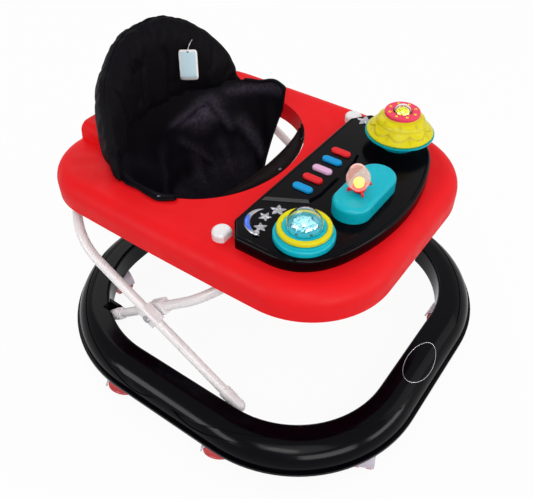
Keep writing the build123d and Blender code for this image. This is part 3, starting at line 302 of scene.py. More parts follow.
def woven(name, colour, painted_highlight, thread_mm=1.5, rough=0.62, sheen=0.03, lint=0.02):
    """Woven polyester: two sets of threads cross at 45 degrees, drawn at 1.5 mm because the real
    0.3 mm would not show. The pile lies two ways in patches of about 30 mm, which shows as lint
    flecks on the threads. A painted highlight, from the mesh's attribute of where a fold faces the
    light, turns the colour to violet grey. The threads catch a low sheen."""
    material, tree, at = start(name)
    turn = add(tree, "Mapping", {"Vector": at["Object"], "Rotation": (0.6, 0.5, pi / 4)})
    # a wave texture's period is two pi over twenty times its scale
    scale = 2 * pi / (20 * thread_mm / 1000)
    threads = {"Vector": turn.outputs[0], "Scale": scale, "Distortion": 0.4, "Detail": 1.0}
    warp = add(tree, "TexWave", threads, bands_direction="X")
    weft = add(tree, "TexWave", threads, bands_direction="Z")
    weave = add(tree, "Math", {0: warp.outputs["Fac"], 1: weft.outputs["Fac"]}, operation="MULTIPLY")
    patch = {"Vector": at["Object"], "Scale": 1000 / 30, "Detail": 3.0, "Roughness": 0.6}
    patch = add(tree, "TexNoise", patch)
    lay = {"Value": patch.outputs[0], "From Min": 0.42, "From Max": 0.70, "To Min": 0.0, "To Max": lint}
    lay = add(tree, "MapRange", lay)
    fleck = add(tree, "Math", {0: weave.outputs[0], 1: lay.outputs[0]}, operation="MULTIPLY")
    # painted highlight: the mesh's attribute, thinned between the threads and mottled by noise, turns the
    # colour violet grey
    highlight_attribute = add(tree, "Attribute", attribute_name="painted_highlight")
    raised = add(tree, "MapRange", {"Value": weave.outputs[0], "To Min": 0.65, "To Max": 1.0})
    highlight_noise = {"Vector": at["Object"], "Scale": 1000 / 6, "Detail": 5.0, "Roughness": 0.65}
    highlight_noise = add(tree, "TexNoise", highlight_noise)
    highlight_mottle = add(tree, "MapRange", {"Value": highlight_noise.outputs[0], **MID_NOISE, "To Min": 0.45, "To Max": 1.2})
    uneven = add(tree, "Math", {0: raised.outputs[0], 1: highlight_mottle.outputs[0]}, operation="MULTIPLY")
    shine = add(tree, "Math", {0: highlight_attribute.outputs["Fac"], 1: uneven.outputs[0]}, operation="MULTIPLY")
    # whichever is more of the lint flecks and the painted highlight
    light = add(tree, "Math", {0: fleck.outputs[0], 1: shine.outputs[0]}, operation="MAXIMUM")
    dye_and_highlight = add(tree, "MixRGB", {"Fac": light.outputs[0], "Color1": colour, "Color2": painted_highlight})
    bump = add(tree, "Bump", {"Height": weave.outputs[0], "Strength": 0.35, "Distance": 0.0003})
    cloth = add(
        tree,
        "BsdfPrincipled",
        {
            "Base Color": dye_and_highlight.outputs[0],
            "Roughness": rough,
            "Specular IOR Level": 0.05,
            "Sheen Weight": sheen,
            "Sheen Roughness": 0.45,
            "Sheen Tint": painted_highlight,
            "Normal": bump.outputs[0],
        },
    )
    add(tree, "OutputMaterial", {"Surface": cloth.outputs[0]})
    return material


def card(name, paper, panel):
    """Coated card: white with a pale printed field that stops 3 to 4 mm from the edge, read from the
    card's own UV map, over faint paper fibres of 2.5 mm."""
    material, tree, at = start(name)
    split = add(tree, "SeparateXYZ", {"Vector": at["UV"]})
    within = []
    for axis, margin in ((0, 0.10), (1, 0.075)):
        far = add(tree, "Math", {0: split.outputs[axis], 1: 0.5}, operation="SUBTRACT")
        away = add(tree, "Math", {0: far.outputs[0]}, operation="ABSOLUTE")
        within.append(add(tree, "Math", {0: away.outputs[0], 1: 0.5 - margin}, operation="LESS_THAN"))
    field = add(tree, "Math", {i: side.outputs[0] for i, side in enumerate(within)}, operation="MULTIPLY")
    fibre = add(tree, "TexNoise", {"Vector": at["Object"], "Scale": 1000 / 2.5, "Detail": 4.0})
    ink = add(tree, "MixRGB", {"Fac": field.outputs[0], "Color1": paper, "Color2": panel})
    pulp = add(tree, "MapRange", {"Value": fibre.outputs[0], "To Min": 0.96, "To Max": 1.02})
    tone = add(tree, "HueSaturation", {"Color": ink.outputs[0], "Value": pulp.outputs[0]})
    bump = add(tree, "Bump", {"Height": fibre.outputs[0], "Strength": 0.05, "Distance": 0.0002})
    coated = add(
        tree, "BsdfPrincipled", {"Base Color": tone.outputs[0], "Roughness": 0.5, "Normal": bump.outputs[0]}
    )
    add(tree, "OutputMaterial", {"Surface": coated.outputs[0]})
    return material


@cache
def finishes():
    """Every material by the slot it serves, made once. After a moulded colour come its roughness, the
    spacing of its peel in millimetres, the peel's strength and the level of its reflections; after a
    metal's, its roughness and the spacing of its grain."""
    c = bpy.context.scene.walker_finishes
    return {
        # polypropylene from a polished tool: deep black that shows soft window-like lights
        "rail_black": moulded("gloss_black_polypropylene", c.rail_black, 0.16, 1.6, 0.05, 0.07),
        # polypropylene with a satin tool: saturated, broad soft lights and no sharp reflection
        "tray_red": moulded("satin_red_polypropylene", c.tray_red, 0.50, 1.1, 0.07, 0.08, mottle=0.03),
        # polyester powder on steel tube: slightly pebbled white
        "tube_white": moulded("white_powder_coat", c.tube_white, 0.38, 1.0, 0.12, 0.5),
        # nylon fittings, a little warmer and glossier than the tube
        "fitting_white": moulded("white_moulded_nylon", c.fitting_white, 0.33, 1.4, 0.05, 0.5),
        # zinc plate: grey with a soft grain
        "pin_steel": metal("zinc_plated_steel", linear("#B9BABF"), 0.28, 0.9),
        # snap studs, blackened
        "stud": metal("blackened_brass", linear("#5D5A63"), 0.34, 0.7),
        # wheel plastic with a matt tread
        "wheel_red": moulded("red_moulded_nylon", c.wheel_red, 0.42, 0.9, 0.10, 0.45),
        # caster hoods, pale lavender grey
        "hood_grey": moulded("lavender_grey_polypropylene", c.hood_grey, 0.45, 1.1, 0.06, 0.4),
        # polyester cover of the seat, with a painted highlight where its folds face the light
        "seat_fabric": woven("black_woven_polyester", c.seat_black, c.seat_painted_highlight),
        # coated cloth: brown black, smooth, with a long soft light
        "band": moulded("brown_black_coated_cloth", c.band_brown, 0.42, 1.0, 0.18, 0.035, mottle=0.12),
        # ABS toy tray: piano-black gloss
        "toy_black": moulded("gloss_black_abs", c.toy_black, 0.18, 1.6, 0.04, 0.06),
        # ABS toys and keys: bright, with a small soft light on each edge
        "toy_turquoise": moulded("turquoise_abs", c.turquoise, 0.30, 1.2, 0.05, 0.16),
        "toy_yellow": moulded("yellow_abs", c.yellow, 0.33, 1.2, 0.05, 0.15),
        # the spinner's yellow, with painted shade darkening it in the mould's creases
        "saucer": moulded("yellow_abs_painted_shade", c.yellow, 0.33, 1.2, 0.05, 0.15, shade=c.yellow_shade),
        "toy_pink": moulded("pink_abs", c.pink, 0.30, 1.2, 0.05, 0.15),
        "button_red": moulded("red_abs", c.button_red, 0.32, 1.0, 0.08, 0.14),
        "button_blue": moulded("blue_abs", c.button_blue, 0.32, 1.0, 0.08, 0.14),
        "button_pink": moulded("pale_pink_abs", c.button_pink, 0.32, 1.0, 0.08, 0.14),
        # clear polystyrene: a bright rim and what lies behind it; the capsule has a painted glow, its own
        # emission standing in for its lamp's light
        "clear": clear("clear_polystyrene", linear("#F4FBFC")),
        "capsule_clear": clear("peach_polystyrene", c.capsule_peach, rough=0.06, ior=1.18, glow=0.16),
        "lamp_yellow": lit("lit_yellow_lamp", c.lamp_yellow, 2.4),
        # polystyrene beads: pearly pale ones and dark ones
        "bead_white": moulded("pearl_white_polystyrene", linear("#9FD9E1"), 0.32, 0.8, 0.10, 0.3),
        "bead_teal": moulded("dark_teal_polystyrene", c.bead_teal, 0.25, 0.8, 0.05, 0.5),
        # plated trim: silver with a broken shine
        "trim_silver": metal("vacuum_plated_silver", linear("#A5A4AA"), 0.30, 1.2),
        "lens": lit("lit_blue_lens", c.lens_blue, 0.55),
        # what is under the toy tray: board, cells and speaker
        "board_green": moulded("green_epoxy_board", linear("#1B6B3C"), 0.5, 0.8, 0.10, 0.4),
        "cell_jacket": moulded("printed_cell_jacket", linear("#3C3C40"), 0.35, 0.8, 0.05, 0.5),
        "speaker_black": moulded("pressed_paper_cone", linear("#1E1D1E"), 0.8, 0.5, 0.3, 0.3),
        # coated card, white with a pale field
        "tag": card("coated_white_card", linear("#FDFDFE"), c.tag_blue),
        # nylon tag loop, clear turning white
        "loop": moulded("white_nylon_thread", linear("#D8D6DA"), 0.4, 0.6, 0.1, 0.4),
    }


def show(name, data):
    """New object in the scene."""
    piece = bpy.data.objects.new(name, data)
    bpy.context.collection.objects.link(piece)
    return piece


def surface(name, points, around=False, uv=None, painted_shade=None):
    """Mesh object from a grid of points, rows by columns by three, or from many grids of one shape.
    Neighbours in a grid make a quad; around joins the last column to the first. Equal points, as at
    a pole, are merged."""
    points = np.asarray(points, float)
    index = np.arange(points.size // 3).reshape(-1, *points.shape[-3:-1])
    if around:
        index = np.concatenate([index, index[..., :1]], -1)
    here, above = index[:, :-1], index[:, 1:]
    quads = np.stack([here[..., :-1], here[..., 1:], above[..., 1:], above[..., :-1]], -1).reshape(-1, 4)
    mesh = bpy.data.meshes.new(name)
    mesh.from_pydata(points.reshape(-1, 3).tolist(), [], quads.tolist())
    if uv is not None:
        corners = np.asarray(uv, float).reshape(-1, 2)[quads.ravel()]
        mesh.uv_layers.new(name="flat").data.foreach_set("uv", corners.ravel())
    if painted_shade is not None:
        shade = mesh.attributes.new("painted_shade", "FLOAT", "POINT")
        shade.data.foreach_set("value", np.asarray(painted_shade, np.float32).ravel())
    form = bmesh.new()
    form.from_mesh(mesh)
    bmesh.ops.remove_doubles(form, verts=form.verts, dist=1e-6)
    bmesh.ops.recalc_face_normals(form, faces=form.faces)
    form.to_mesh(mesh)
    form.free()
    mesh.shade_smooth()
    return show(name, mesh)


def place(piece, body, material, *replaced, slot=None):
    """Paints a piece, sets it on a body and hides the CAD nodes that it stands for."""
    piece.data.materials.clear()
    piece.data.materials.append(finishes()[material])
    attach(piece, body)
    if replaced:
        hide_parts(*replaced)


def thicken(piece, thick):
    """Gives a sheet its thickness, half on either side."""
    wall = piece.modifiers.new("thickness", "SOLIDIFY")
    wall.thickness, wall.offset, wall.use_even_offset = thick, 0, True


def refine(piece):
    """Rounds a grid by one subdivision."""
    smooth = piece.modifiers.new("round", "SUBSURF")
    smooth.levels = smooth.render_levels = 1


def bake(piece):
    """Applies a piece's modifiers to its mesh."""
    graph = bpy.context.evaluated_depsgraph_get()
    mesh = bpy.data.meshes.new_from_object(piece.evaluated_get(graph))
    piece.modifiers.clear()
    piece.data = mesh


def read(mesh, what="co"):
    """Places of a mesh's points, one row each, or their normals."""
    flat = np.empty(3 * len(mesh.vertices), np.float32)
    mesh.vertices.foreach_get(what, flat)
    return flat.reshape(-1, 3).astype(float)


def write(mesh, points):
    """Puts a mesh's points where the rows of points say."""
    mesh.vertices.foreach_set("co", points.astype(np.float32).ravel())
    mesh.update()


def unit(vectors):
    """Vectors brought to length one."""
    return vectors / np.maximum(np.linalg.norm(vectors, axis=-1, keepdims=True), 1e-9)


def level_out(points, y):
    """Level unit vectors to points from the upright line at x = 0 and y."""
    return unit((points - [0, y, 0]) * [1, 1, 0])


def ease(x):
    """Smooth step as x goes from 0 to 1: three times its square less twice its cube."""
    t = np.clip(x, 0, 1)
    return t * t * (3 - 2 * t)


def bell(x, middle, width):
    """Gaussian of height one: e to the minus square of the distance from the middle over the width."""
    return np.exp(-(((x - middle) / width) ** 2))


def turns(count):
    """Angles of equal steps round a full turn."""
    return np.linspace(0, 2 * pi, count, endpoint=False)


def paint_highlight(piece, low, high, most, fold_highlight=0.0):
    """Stores a painted highlight attribute on a sheet or pad: how far its normal turns to the light, between
    the cosines low and high, smoothed and scaled to most, or the painted highlight along the folds where
    that is more."""
    facing = np.abs(read(piece.data, "normal") @ TO_LIGHT)
    light = most * ease((facing - low) / (high - low))
    painted_highlight = piece.data.attributes.new("painted_highlight", "FLOAT", "POINT")
    painted_highlight.data.foreach_set("value", np.maximum(light, fold_highlight).astype(np.float32))


def settle(piece, held, frames, cap, slack, stiff, bend, pressure=0.0, weight=0.0):
    """Runs the piece as cloth, keeps where it comes to rest and gives its points there: held points
    stay, no point moves further than cap, slack lengthens every thread, pressure is the foam behind
    it and weight its share of gravity."""
    scene = bpy.context.scene
    before = read(piece.data)
    piece.vertex_groups.new(name="sewn").add(np.flatnonzero(held).tolist(), 1.0, "REPLACE")
    cloth = piece.modifiers.new("cloth", "CLOTH")
    s = cloth.settings
    s.quality, s.mass, s.air_damping = 6, 0.25, 3.0
    s.tension_stiffness = s.compression_stiffness = stiff
    s.shear_stiffness, s.bending_stiffness = stiff / 3, bend
    s.vertex_group_mass = "sewn"
    s.shrink_min = -slack
    s.use_pressure, s.uniform_pressure_force = pressure != 0, pressure
    s.effector_weights.gravity = weight
    cloth.collision_settings.use_collision = False
    for i in range(1, frames + 1):
        scene.frame_set(i)
    move = read(piece.evaluated_get(bpy.context.evaluated_depsgraph_get()).data) - before
    piece.modifiers.remove(cloth)
    piece.vertex_groups.clear()
    scene.frame_set(1)
    move *= np.minimum(1, cap / np.maximum(np.linalg.norm(move, axis=1, keepdims=True), 1e-9))
    write(piece.data, before + move)
    return before + move


def keyed(keys, values, at):
    """Smooth curve through values set at keys: cubic pieces whose slopes come from their neighbours."""
    keys, values = np.asarray(keys, float), np.asarray(values, float)
    slope = np.gradient(values, keys)
    i = np.clip(np.searchsorted(keys, at) - 1, 0, len(keys) - 2)
    h = keys[i + 1] - keys[i]
    t = (at - keys[i]) / h
    return (
        (2 * t**3 - 3 * t**2 + 1) * values[i]
        + (t**3 - 2 * t**2 + t) * h * slope[i]
        + (3 * t**2 - 2 * t**3) * values[i + 1]
        + (t**3 - t**2) * h * slope[i + 1]
    )


def sweep(path, across, along, up=(0, 0, 1), closed=False):
    """Profile carried along a path: at each point the profile's two coordinates run along the path's
    side vector (tangent cross up) and along the vector square to both. A closed path's first row is
    repeated at its end."""
    path = np.asarray(path, float)
    tangent = unit(np.roll(path, -1, 0) - np.roll(path, 1, 0) if closed else np.gradient(path, axis=0))
    side = unit(np.cross(tangent, np.broadcast_to(up, tangent.shape)))
    lift = np.cross(side, tangent)
    across, along = np.asarray(across)[:, None], np.asarray(along)[:, None]
    grid = path[:, None] + side[:, None] * across + lift[:, None] * along
    return np.concatenate([grid, grid[:1]]) if closed else grid


def ring(count, a, b):
    """Ellipse profile: a cos t and b sin t round a full turn."""
    return a * np.cos(turns(count)), b * np.sin(turns(count))


def capped(grid):
    """Closes a swept tube: rows of one point, the middle of each end row, come before and after it."""
    first, last = (np.repeat(row.mean(1, keepdims=True), grid.shape[1], 1) for row in (grid[:1], grid[-1:]))
    return np.concatenate([first, grid, last])


def ball(rows, cols):
    """Unit sphere grid: latitude by longitude, with its poles."""
    v, u = np.meshgrid(np.linspace(0, pi, rows), turns(cols), indexing="ij")
    return np.stack([np.sin(v) * np.cos(u), np.sin(v) * np.sin(u), np.cos(v)], -1)


def back_outline(count):
    """Outline of the pad as run round its bend and rise from its middle: a keyed curve from the top
    down the left side to the bottom, and another back up the right side, which is fuller."""
    # way from the top to the bottom, then the run and the height there, on the left and on the right
    keys, *sides = np.transpose(
        [
            (0, 0, 0.5192, 0, 0.5192),
            (0.1, 0.0325, 0.5184, 0.0325, 0.5184),
            (0.2, 0.065, 0.5100, 0.065, 0.5105),
            (0.3, 0.0975, 0.4930, 0.0985, 0.4960),
            (0.4, 0.1264, 0.4700, 0.1340, 0.4860),
            (0.5, 0.148, 0.4470, 0.1620, 0.4700),
            (0.6, 0.1644, 0.4235, 0.1815, 0.4450),
            (0.7, 0.1734, 0.3990, 0.1935, 0.4150),
            (0.78, 0.1775, 0.3820, 0.2010, 0.3920),
            (0.86, 0.1860, 0.3665, 0.2110, 0.3700),
            (0.90, 0.180, 0.3605, 0.211, 0.3615),
            (0.93, 0.155, 0.3590, 0.176, 0.3590),
            (0.965, 0.080, 0.3585, 0.080, 0.3585),
            (1, 0, 0.3585, 0, 0.3585),
        ]
    )
    way = np.linspace(0, 1, count // 2 + 1)
    left, left_z, right, right_z = (keyed(keys, values, way) for values in sides)
    run, height = np.append(left, -right[-2:0:-1]), np.append(left_z, right_z[-2:0:-1])
    return run, height - bpy.context.scene.walker_seat.back_mid_z


def back_point(run, rise, depth):
    """Point of the pad: run is wrapped round the back's bend, depth adds to its radius."""
    k = bpy.context.scene.walker_seat
    turn = run / k.back_mid_r
    r = k.back_mid_r + depth
    return np.stack([r * np.sin(turn), k.back_centre_y + r * np.cos(turn), k.back_mid_z + rise], -1)


def back_share(points):
    """How near points of the pad are to its edge, 0 in the middle and 1 on the outline, and the angle
    at which they lie round the middle."""
    k = bpy.context.scene.walker_seat
    run = k.back_mid_r * np.arctan2(points[:, 0], points[:, 1] - k.back_centre_y)
    rise = points[:, 2] - k.back_mid_z
    out_run, out_rise = back_outline(480)
    angle = np.arctan2(out_run, out_rise)
    order = np.argsort(angle)
    here = np.arctan2(run, rise)
    edge = np.interp(here, angle[order], np.hypot(out_run, out_rise)[order], period=2 * pi)
    return np.hypot(run, rise) / edge, here


def back_gather(points, angle):
    """Moves of points at angles round the pad's edge, where the cover is drawn in or let out: two
    sines of wandering phase under a slow swell, so that no two gathers are alike."""
    k = bpy.context.scene.walker_seat
    swell = 0.55 + 0.45 * np.sin(4 * angle + 1.9) * np.sin(7 * angle + 0.4)
    broad = np.sin(23 * angle + 2.4 * np.sin(3 * angle + 0.7))
    fine = np.sin(41 * angle + 1.7 * np.sin(7 * angle))
    heart = [0, k.back_centre_y + 0.9 * k.back_mid_r, k.back_mid_z]
    return unit(points - heart) * (0.0009 * swell * (broad + 0.6 * fine))[:, None]


class WALKER_OT_mouldings(bpy.types.Operator):
    """Paint every solid of the frame with the material of its slot"""

    bl_idname = "walker.mouldings"
    bl_label = "Mouldings and tubes"

    def execute(self, context):
        for subpart in frame["record"]["subparts"]:
            for holder in NODES[subpart["node"]].material_slots:
                holder.material = finishes()[subpart["material_slot"]]
        return {"FINISHED"}


class WALKER_OT_seat_back(bpy.types.Operator):
    """Padded back: a crowned closed form that swells from its sewn edge, with a piped rim"""

    bl_idname = "walker.seat_back"
    bl_label = "Padded back"

    def execute(self, context):
        k = context.scene.walker_seat
        # front middle to edge to back middle, each ring a share of the outline; the depth stays
        # nearly full and then rounds off, as the root of one minus the share to the sixth
        run, rise = back_outline(160)
        v = np.linspace(-1, 1, 65)[:, None]
        share = np.sin(pi / 2 * (1 - np.abs(v)))
        depth = k.back_half_t * np.sign(v) * np.maximum(1 - share**6, 0) ** 0.5
        pad = surface("seat_back_pad", back_point(run * share, rise * share, depth + 0 * run), around=True)
        even = pad.modifiers.new("even", "REMESH")
        even.mode, even.voxel_size, even.use_smooth_shade = "VOXEL", 0.0046, True
        bake(pad)
        sewn = back_share(read(pad.data))[0] > 0.985
        settle(pad, sewn, frames=22, cap=0.0065, slack=0.05, stiff=9.0, bend=0.25, pressure=4.0)
        # gathers on the outer quarter, where the cover is drawn over the edge, and slanting pull lines
        # 1.8 mm deep at the bottom, that die out 425 mm up
        points = read(pad.data)
        share, angle = back_share(points)
        rim = np.clip((share - 0.72) / 0.28, 0, 1) ** 1.5
        low = np.clip((0.425 - points[:, 2]) / 0.07, 0, 1) ** 2
        pull = 0.0018 * np.sin(80 * points[:, 0] + 55 * points[:, 2]) * low
        pulled = level_out(points, k.back_centre_y) * pull[:, None]
        write(pad.data, points + pulled + back_gather(points, angle) * rim[:, None])
        # painted highlight where the pad faces the light
        paint_highlight(pad, low=0.72, high=1.00, most=0.03)
        refine(pad)
        place(pad, "tray", "seat_fabric", "seat_back", slot="seat_fabric")
        # sewn edge: a thin ridge where the front and back panels meet, drawn in with the gathers
        run, rise = back_outline(240)
        edge = back_point(run * 0.995, rise * 0.995, 0 * run)
        edge = edge + back_gather(edge, np.arctan2(run, rise))
        tube = sweep(
            edge, *ring(10, k.piping_r, k.piping_r), up=level_out(edge, k.back_centre_y), closed=True
        )
        place(surface("seat_back_piping", tube, around=True), "tray", "seat_fabric", slot="seat_fabric")
        return {"FINISHED"}


def opening(turn, inset):
    """Ellipse of the tray's opening, drawn in by inset: x and y at an angle from its far end."""
    return (OPENING_A - inset) * np.sin(turn), OPENING_Y + (OPENING_B - inset) * np.cos(turn)


def sling_sheet(u, v):
    """Sling before it hangs, over u across it and v down it. Each row is an arc across the seat: x
    follows the sine of its angle, y the cosine and z the square of u. The wings lift where they leave
    the back, and fall again to the hem."""
    chord_y = bpy.context.scene.walker_seat.chord_y
    # v, then the row's middle (y, z), its end (x, y, z) and half its opening angle in degrees
    keys, *columns = np.transpose(
        [
            (0, 0.2485, 0.3775, 0.1645, 0.088, 0.392, 102),
            (0.12, 0.250, 0.352, 0.1625, 0.094, 0.357, 100),
            (0.26, 0.243, 0.314, 0.154, 0.104, 0.314, 98),
            (0.40, 0.227, 0.266, 0.142, 0.110, 0.268, 97),
            (0.52, 0.206, 0.230, 0.121, 0.107, 0.240, 94),
            (0.60, 0.168, 0.217, 0.099, 0.094, 0.228, 80),
            (0.69, 0.122, 0.213, 0.073, 0.074, 0.221, 58),
            (0.78, 0.074, 0.217, 0.057, 0.050, 0.221, 40),
            (0.86, 0.036, 0.236, 0.053, 0.027, 0.240, 30),
            (0.93, 0.021, 0.286, 0.055, 0.018, 0.289, 24),
            (1, chord_y, 0.3445, 0.062, chord_y + 0.002, 0.3455, 20),
        ]
    )
    mid_y, mid_z, end_x, end_y, end_z, half = (keyed(keys, column, v) for column in columns)
    a = np.radians(half)
    x = end_x * np.sin(a * u) / np.sin(a)
    y = end_y + (mid_y - end_y) * (np.cos(a * u) - np.cos(a)) / (1 - np.cos(a))
    z = mid_z + (end_z - mid_z) * u**2
    z = z + 0.011 * bell(np.abs(u), 0.88, 0.10) * np.clip(1 - v / 0.12, 0, 1)
    return np.stack([x, y, z], -1)


def turn_out(grid, u, v):
    """Turns the sling's right wing out over the rim: from the opening's ellipse up over the lip, and
    out along its normal by a reach keyed to the angle round the opening. Gives the new grid, and how
    far each point is turned."""
    # height of the rim, height of the lip over it, how far inside the rim the wing starts, its ripple
    rim_z, lip, start_in, ripple = 0.3560, 0.0046, 0.0030, 0.0008
    seam = grid[round(FLAP * (len(grid) - 1))]
    turn = np.arctan2(seam[:, 0] / OPENING_A, (seam[:, 1] - OPENING_Y) / OPENING_B)[None]
    turn = turn * (1 + 0.10 * np.clip((-u - 0.52) / 0.48, 0, 1))
    rim = np.stack([*opening(turn, 0.0005), 0 * turn + rim_z], -1)
    normal = unit(np.stack([np.sin(turn) / OPENING_A, np.cos(turn) / OPENING_B, 0 * turn], -1))
    angles = [0, 60, 72, 80, 88, 95, 102, 108, 120]
    reaches = [0.004, 0.006, 0.010, 0.0095, 0.0055, 0.009, 0.0125, 0.0085, 0.001]
    reach = keyed(angles, reaches, np.abs(np.degrees(turn)))
    t = np.clip(1 - v / FLAP, 0, 1)
    lie = rim + normal * (-start_in + (start_in + reach) * t**0.8)[..., None]
    lie[..., 2] += lip * np.sin(pi / 2 * np.clip(t / 0.30, 0, 1)) + ripple * np.sin(55 * u) * t
    turned = (ease((-u - 0.42) / 0.12) * np.clip((FLAP - v) / 0.02, 0, 1))[..., None]
    return grid + (lie - grid) * turned, turned


def sling_folds(u, v):
    """Height of the sling's folds and the painted highlight along them: ridges along straight lines over
    the sheet, each a Gaussian of the distance to its line, that fan from under the pad's corners, with
    fine slanting waves between them."""
    fold = 0.12 * np.sin(17 * np.abs(u) - 9 * v + 0.6)
    fold = fold + 0.08 * np.sin(29 * np.abs(u) + 13 * v) + 0.05 * np.sin(44 * u - 31 * v)
    shine = 0 * fold
    # half of the sheet (1 left, -1 right), both ends of the line (u, v), then width, height and painted
    # highlight
    for side, u0, v0, u1, v1, wide, tall, painted_highlight in (
        (1, 0.39, 0.120, 0.10, 0.205, 0.022, 0.9, 0.46),
        (1, 0.39, 0.120, 0.57, 0.30, 0.026, 1.0, 0.52),
        (1, 0.385, 0.150, 0.335, 0.235, 0.062, 0.2, 0.80),
        (1, 0.20, 0.215, 0.47, 0.245, 0.034, 0.2, 0.62),
        (1, 0.56, 0.080, 1.00, 0.025, 0.042, 0.5, 0.60),
        (1, 0.66, 0.28, 0.93, 0.43, 0.038, 0.8, 0.42),
        (1, 0.14, 0.31, 0.43, 0.50, 0.024, 0.6, 0.20),
        (1, 0.22, 0.40, 0.23, 0.60, 0.030, 0.5, 0.16),
        (1, 0.50, 0.40, 0.62, 0.60, 0.030, 0.5, 0.18),
        (-1, 0.05, 0.30, 0.26, 0.52, 0.030, 0.5, 0.10),
        (-1, 0.52, 0.12, 0.12, 0.42, 0.050, 0.7, 0.06),
        (-1, 0.92, 0.26, 0.66, 0.66, 0.040, 0.8, 0.06),
    ):
        line = np.array([u1 - u0, v1 - v0])
        a, b = side * u - u0, v - v0
        t = np.clip((a * line[0] + b * line[1]) / (line @ line), 0, 1)
        off = np.hypot(0.55 * (a - t * line[0]), b - t * line[1])
        ridge = np.sin(pi * (0.18 + 0.72 * t)) ** 0.5 * bell(off, 0, wide)
        fold = fold + tall * ridge
        shine = np.maximum(shine, painted_highlight * ridge)
    return fold, shine


def averaged(points):
    """Points of a line or rows of a grid, each inner one averaged with its neighbours."""
    return np.concatenate([points[:1], (points[:-2] + 2 * points[1:-1] + points[2:]) / 4, points[-1:]])


class WALKER_OT_sling(bpy.types.Operator):
    """Hanging seat: one sheet from the back down to the crotch and up to the front edge, with hems"""

    bl_idname = "walker.sling"
    bl_label = "Sling seat"

    def execute(self, context):
        k = context.scene.walker_seat
        rows, cols = 97, 127
        v = np.linspace(0, 1, rows)[:, None]
        u = np.linspace(-1, 1, cols)[None]
        sheet = sling_sheet(u, v)
        grid, turned = turn_out(sheet, u, v)
        sling = surface("seat_sling_cloth", grid, uv=np.stack(np.broadcast_arrays(u * 0.25, v * 0.5), -1))
        # held along the back, at both ends of the rim, over the turned wing and at the front edge
        seam = round(FLAP * (rows - 1))
        held = np.zeros((rows, cols), bool)
        held[:2, np.abs(u[0]) < 0.72] = True
        held[seam - 1 : seam + 1] = np.abs(u) > 0.80
        held[: seam + 1] |= u < -0.40
        held[-2:] = True
        # the sheet hangs as cloth, and its broad sag is kept: each point's move is averaged with its
        # neighbours' thirty times, down the sheet and across it
        hung = settle(
            sling, held.ravel(), frames=26, cap=0.009, slack=0.04, stiff=8.0, bend=0.15, weight=0.8
        )
        sag = hung.reshape(rows, cols, 3) - grid
        for _ in range(30):
            sag = averaged(averaged(sag).swapaxes(0, 1)).swapaxes(0, 1)
        grid = grid + sag
        # folds stand in towards the middle of the opening, and up where the sheet lies flat; they die
        # out at the back, at the front and at both hems
        fold_in, fold_up = 0.0080, 0.004
        fold, shine = sling_folds(u, v)
        fold = fold * np.sin(pi * np.clip(v / 0.90, 0, 1)) ** 0.6 * np.clip((1 - np.abs(u)) / 0.10, 0, 1)
        grid = grid - level_out(sheet, OPENING_Y) * (fold_in * fold[..., None] * (1 - turned))
        grid[..., 2] += fold_up * fold * np.clip((v - 0.45) / 0.1, 0, 1)
        write(sling.data, grid)
        # painted highlight where the sheet faces the light, and along the ridges of its folds
        paint_highlight(sling, low=0.55, high=0.95, most=0.10, fold_highlight=shine.ravel())
        thicken(sling, k.cloth_t)
        refine(sling)
        place(sling, "tray", "seat_fabric", "seat_sling", slot="seat_fabric")
        # bound edges: a flat oval tape along the top of each wing, 23 columns wide, and down its leg
        # opening to three rows from the front edge
        for name, wing in (("right", grid), ("left", grid[:, ::-1])):
            path = averaged(np.concatenate([wing[0, 23::-1], wing[1:-3, 0]]))
            tape = sweep(path, *ring(12, k.hem_w * 0.28, k.hem_w / 2), up=(1, 0, 0.02))
            hem = surface("seat_hem_" + name, capped(tape), around=True)
            place(hem, "tray", "seat_fabric", slot="seat_fabric")
        return {"FINISHED"}


class WALKER_OT_front_band(bpy.types.Operator):
    """Coated band across the front of the opening, its free edge rolled under"""

    bl_idname = "walker.front_band"
    bl_label = "Front band"

    def execute(self, context):
        chord_y = context.scene.walker_seat.chord_y
        # straight lines from the rim's ellipse to the pulled front edge, sagging as a parabola, with
        # a slight ripple
        half_turn, rim_z, edge_drop, mid_sag, ripple = np.radians(51), 0.3555, 0.0085, 0.004, 0.0005
        p = np.linspace(-1, 1, 97)[None]
        q = np.linspace(0, 1, 17)[:, None]
        rim_x, rim_y = opening(pi - half_turn * p, 0.0018)
        edge_y = chord_y + (rim_y[:, -1:] - chord_y) * p**2
        sag = edge_drop * q + mid_sag * 4 * q * (1 - q) * (1 - p**2)
        z = rim_z - sag - ripple * np.sin(31 * p) * np.sin(pi * q)
        grid = np.stack([rim_x + 0 * q, rim_y + (edge_y - rim_y) * q, z], -1)
        band = surface("seat_front_band", grid)
        thicken(band, 0.0026)
        refine(band)
        place(band, "tray", "band", slot="seat_fabric")
        tube = sweep(grid[-1, 3:-3] - [0, 0, 0.001], *ring(12, 0.0034, 0.0030))
        roll = surface("seat_front_roll", capped(tube), around=True)
        place(roll, "tray", "band", slot="seat_fabric")
        return {"FINISHED"}


class WALKER_OT_studs(bpy.types.Operator):
    """Snap studs that hold the seat to the rim"""

    bl_idname = "walker.studs"
    bl_label = "Snap studs"

    def execute(self, context):
        # a button of revolution, flange then dome
        turn = turns(20)
        share = np.array([0.0, 1.0, 1.0, 0.9, 0.66, 0.60, 0.45, 0.2, 0.0])[:, None]
        height = 0.001 * np.array([-0.6, -0.6, 0.3, 0.6, 0.7, 1.3, 1.8, 2.0, 2.0])[:, None]
        radius = context.scene.walker_seat.stud_r * share
        stud = np.stack([radius * np.cos(turn), radius * np.sin(turn), height + 0 * turn], -1)
        front = [(-0.0905, 0.0040, 0.3535), (0.0, -0.0120, 0.3520), (0.0905, 0.0040, 0.3535)]
        spots = np.array([*front, (-0.1708, 0.090, 0.3612)])
        studs = surface("seat_studs", spots[:, None, None] + stud, around=True)
        place(studs, "tray", "stud", slot="pin_steel")
        return {"FINISHED"}


